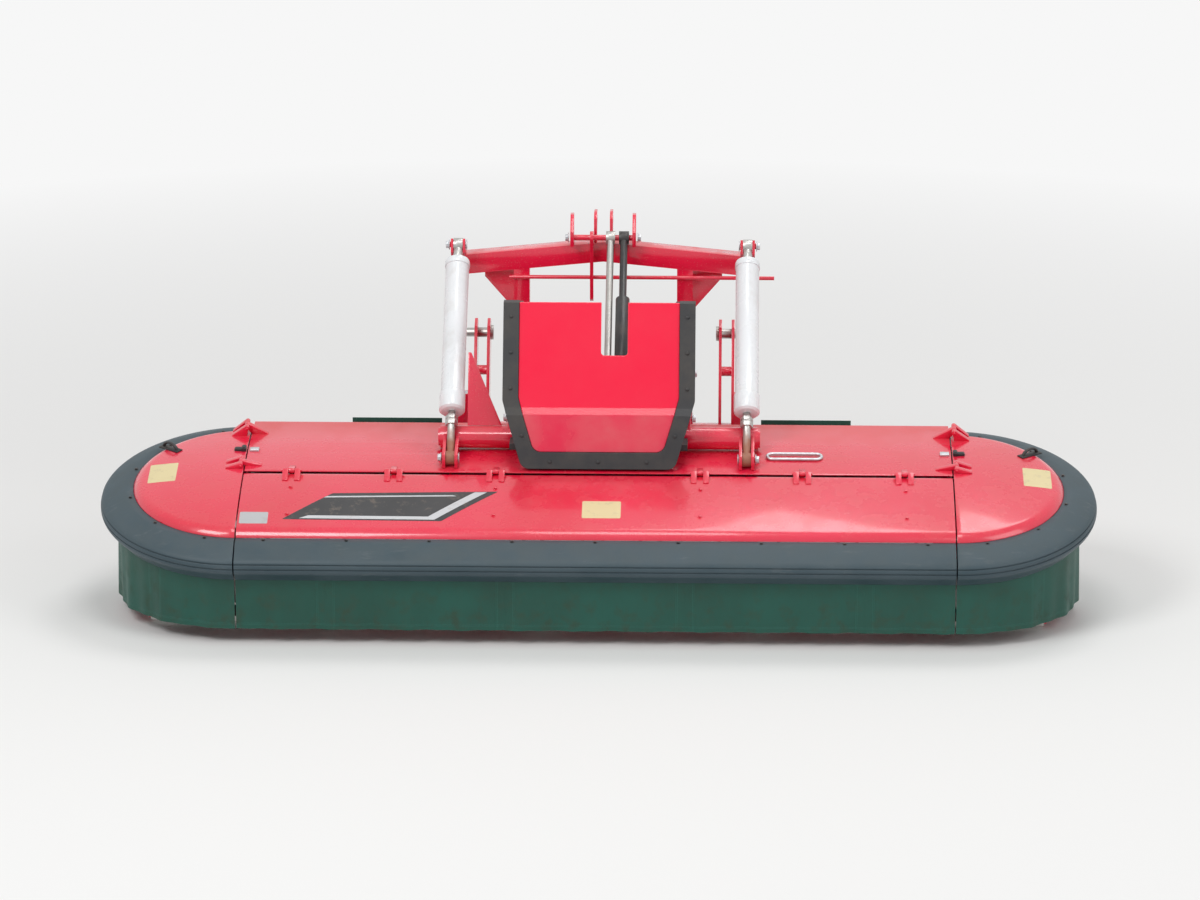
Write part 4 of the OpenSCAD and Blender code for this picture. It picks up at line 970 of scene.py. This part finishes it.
# Blank plates and the stripe
# Thin film stuck on the lid and the end caps: cream and grey plates, and a black stripe with silver
# lines, of which the lower one sweeps up at its inner end. All of it is bare.
def plain_film(name, colour, dullness):
    film = Finish(name, colour, roughness=dullness)
    wear = film.between(film.noise(26.0, 6.0, 0.7), 0.56, 0.74)
    cloud = film.noise(7.0, 3.0)
    faded, soil = tuple(0.55 * c + 0.10 for c in colour), (0.30, 0.24, 0.19)
    film.feed("Base Color", film.blend(wear * 0.45, film.blend(cloud * 0.35, colour, faded), soil))
    film.feed("Roughness", dullness + wear * 0.3 + cloud * 0.08)
    film.bump(film.noise(200.0, 2.0), 0.0001, 0.3)
    return film.material


film_t, film_lift, upper_lift, film_row = 0.0005, 0.0004, 0.0010, 0.02


def stick_on(name, outline, onto, material, body, lift=film_lift, side=0, corner=0.006):
    """A film with rounded corners, drawn over the hood by x and u and laid down on the sheet."""
    spots = [on_hood(x, u, side)[0] for x, u in outline]
    part = start_line(name, spots[0].x, spots[0].y, 1.0)
    for a, b in zip(spots, spots[1:]):
        go(b.x - a.x, b.y - a.y, 0)
    fill()
    bpy.ops.mesh.bevel(offset=corner, segments=4, affect="VERTICES")
    low, high = min(p.y for p in spots), max(p.y for p in spots)
    rows = max(2, round((high - low) / film_row))
    for i in range(1, rows):
        cut_across("y", low + (high - low) * i / rows)
    if side:
        low, high = min(p.x for p in spots), max(p.x for p in spots)
        for i in range(1, 6):
            cut_across("x", low + (high - low) * i / 6)
    face_outwards()
    with_modifier(part, "SHRINKWRAP", target=onto, wrap_method="PROJECT", use_project_z=True,
                  use_negative_direction=True, use_positive_direction=False, offset=lift)
    if part.data.polygons[0].normal.z < 0:
        edit_all(part)
        bpy.ops.mesh.flip_normals()
    with_modifier(part, "SOLIDIFY", thickness=film_t, offset=-1)
    complete(part, material, body)


def box_at(x, u, wide, long):
    return [(x - wide / 2, u - long / 2), (x + wide / 2, u - long / 2), (x + wide / 2, u + long / 2),
            (x - wide / 2, u + long / 2)]


cream = plain_film("cream_film", (0.78, 0.66, 0.36), 0.4)
grey_film = plain_film("grey_film", (0.50, 0.51, 0.52), 0.4)
black_film = plain_film("black_film", (0.018, 0.018, 0.020), 0.3)
silver_film = plain_film("silver_film", (0.62, 0.63, 0.65), 0.3)
stripe_edge = [(-1.215, -0.343), (-0.598, -0.349), (-0.385, -0.143), (-1.030, -0.163)]
sweep_edge = [(-1.150, -0.337), (-0.625, -0.341), (-0.428, -0.149), (-0.476, -0.150), (-0.650, -0.321),
              (-1.115, -0.318)]
line_edge = [(-1.050, -0.185), (-0.560, -0.172), (-0.545, -0.180), (-1.062, -0.195)]
stick_on("plate_middle", box_at(0.02, -0.265, 0.15, 0.115), lid, cream, "front_guard")
stick_on("plate_left", box_at(-1.71, 0.02, 0.11, 0.15), cap_sheets[-1], cream, "left_guard",
         side=-1)
stick_on("plate_right", box_at(1.72, 0.03, 0.11, 0.15), cap_sheets[1], cream, "right_guard",
         side=1)
stick_on("plate_grey", box_at(-1.325, -0.335, 0.11, 0.075), lid, grey_film, "front_guard")
stick_on("stripe_black", stripe_edge, lid, black_film, "front_guard")
stick_on("stripe_silver", sweep_edge, lid, silver_film, "front_guard",
         lift=upper_lift, corner=0.003)
stick_on("stripe_line", line_edge, lid, silver_film, "front_guard",
         lift=upper_lift, corner=0.002)

# Latches and grips of the end guards
# A sprung hook on each guard snaps over a catch that is riveted to the hood beside the seam, and a
# moulded grip on the cap lifts the guard.
catch_x, hook_x, claw_x, catch_u = 1.362, 1.418, 1.404, 0.19
catch_size, hook_size, claw_size = (0.036, 0.030, 0.008), (0.046, 0.022, 0.010), (0.018, 0.030, 0.015)
grip_x, grip_u, grip_r, grip_bar, foot_size = 1.70, 0.235, 0.036, 0.0065, (0.110, 0.030, 0.005)


def block(name, x, u, size, side=0):
    """A small folded or moulded body that stands on the sheet, with its top drawn in."""
    wide, long, tall = size
    place, out = on_hood(x, u, side)
    select_nothing()
    bpy.ops.mesh.primitive_cube_add(size=1.0)
    part = bpy.context.object
    part.name = part.data.name = name
    part.scale = size
    bpy.ops.object.transform_apply()
    edit_all(part)
    select_faces(part, lambda face: face.normal.z > 0.9)
    bpy.ops.mesh.inset(thickness=min(wide, long) * 0.16, depth=0.0)
    go(0, 0, tall * 0.25)
    break_edges(part, min(size) * 0.14, 30, 3)
    stand_on(part, place + out * (tall / 2 - 0.0004), out)
    return part


def stand_on(part, place, out):
    """Turns a piece that was made upright to face out, and moves it to its place."""
    part.rotation_euler = out.to_track_quat("Z", "Y").to_euler()
    part.location = place
    bpy.ops.object.transform_apply()


for side, word in sides:
    catch = joined("catch_" + word, [block("catch", side * catch_x, catch_u, catch_size)])
    complete(catch, galvanised, "root")
    hook = joined("hook_" + word, [block("hook", side * hook_x, catch_u, hook_size, side),
                                   block("hook", side * claw_x, catch_u, claw_size, side)])
    complete(hook, mould, word + "_guard")
    select_nothing()
    bpy.ops.mesh.primitive_torus_add(major_radius=grip_r, minor_radius=grip_bar, major_segments=36,
                                     minor_segments=14, rotation=(math.pi / 2, 0, 0))
    grip = bpy.context.object
    bpy.ops.object.transform_apply()
    edit_all(grip)
    cut_across("z", -0.002, whole=True)
    bpy.ops.object.mode_set(mode="OBJECT")
    grip.scale = (1.1, 1.0, 0.75)
    bpy.ops.object.transform_apply()
    stand_on(grip, *on_hood(side * grip_x, grip_u, side))
    foot = block("foot", side * grip_x, grip_u, foot_size, side)
    grip = joined("grip_" + word, [foot, grip])
    complete(grip, mould, word + "_guard")
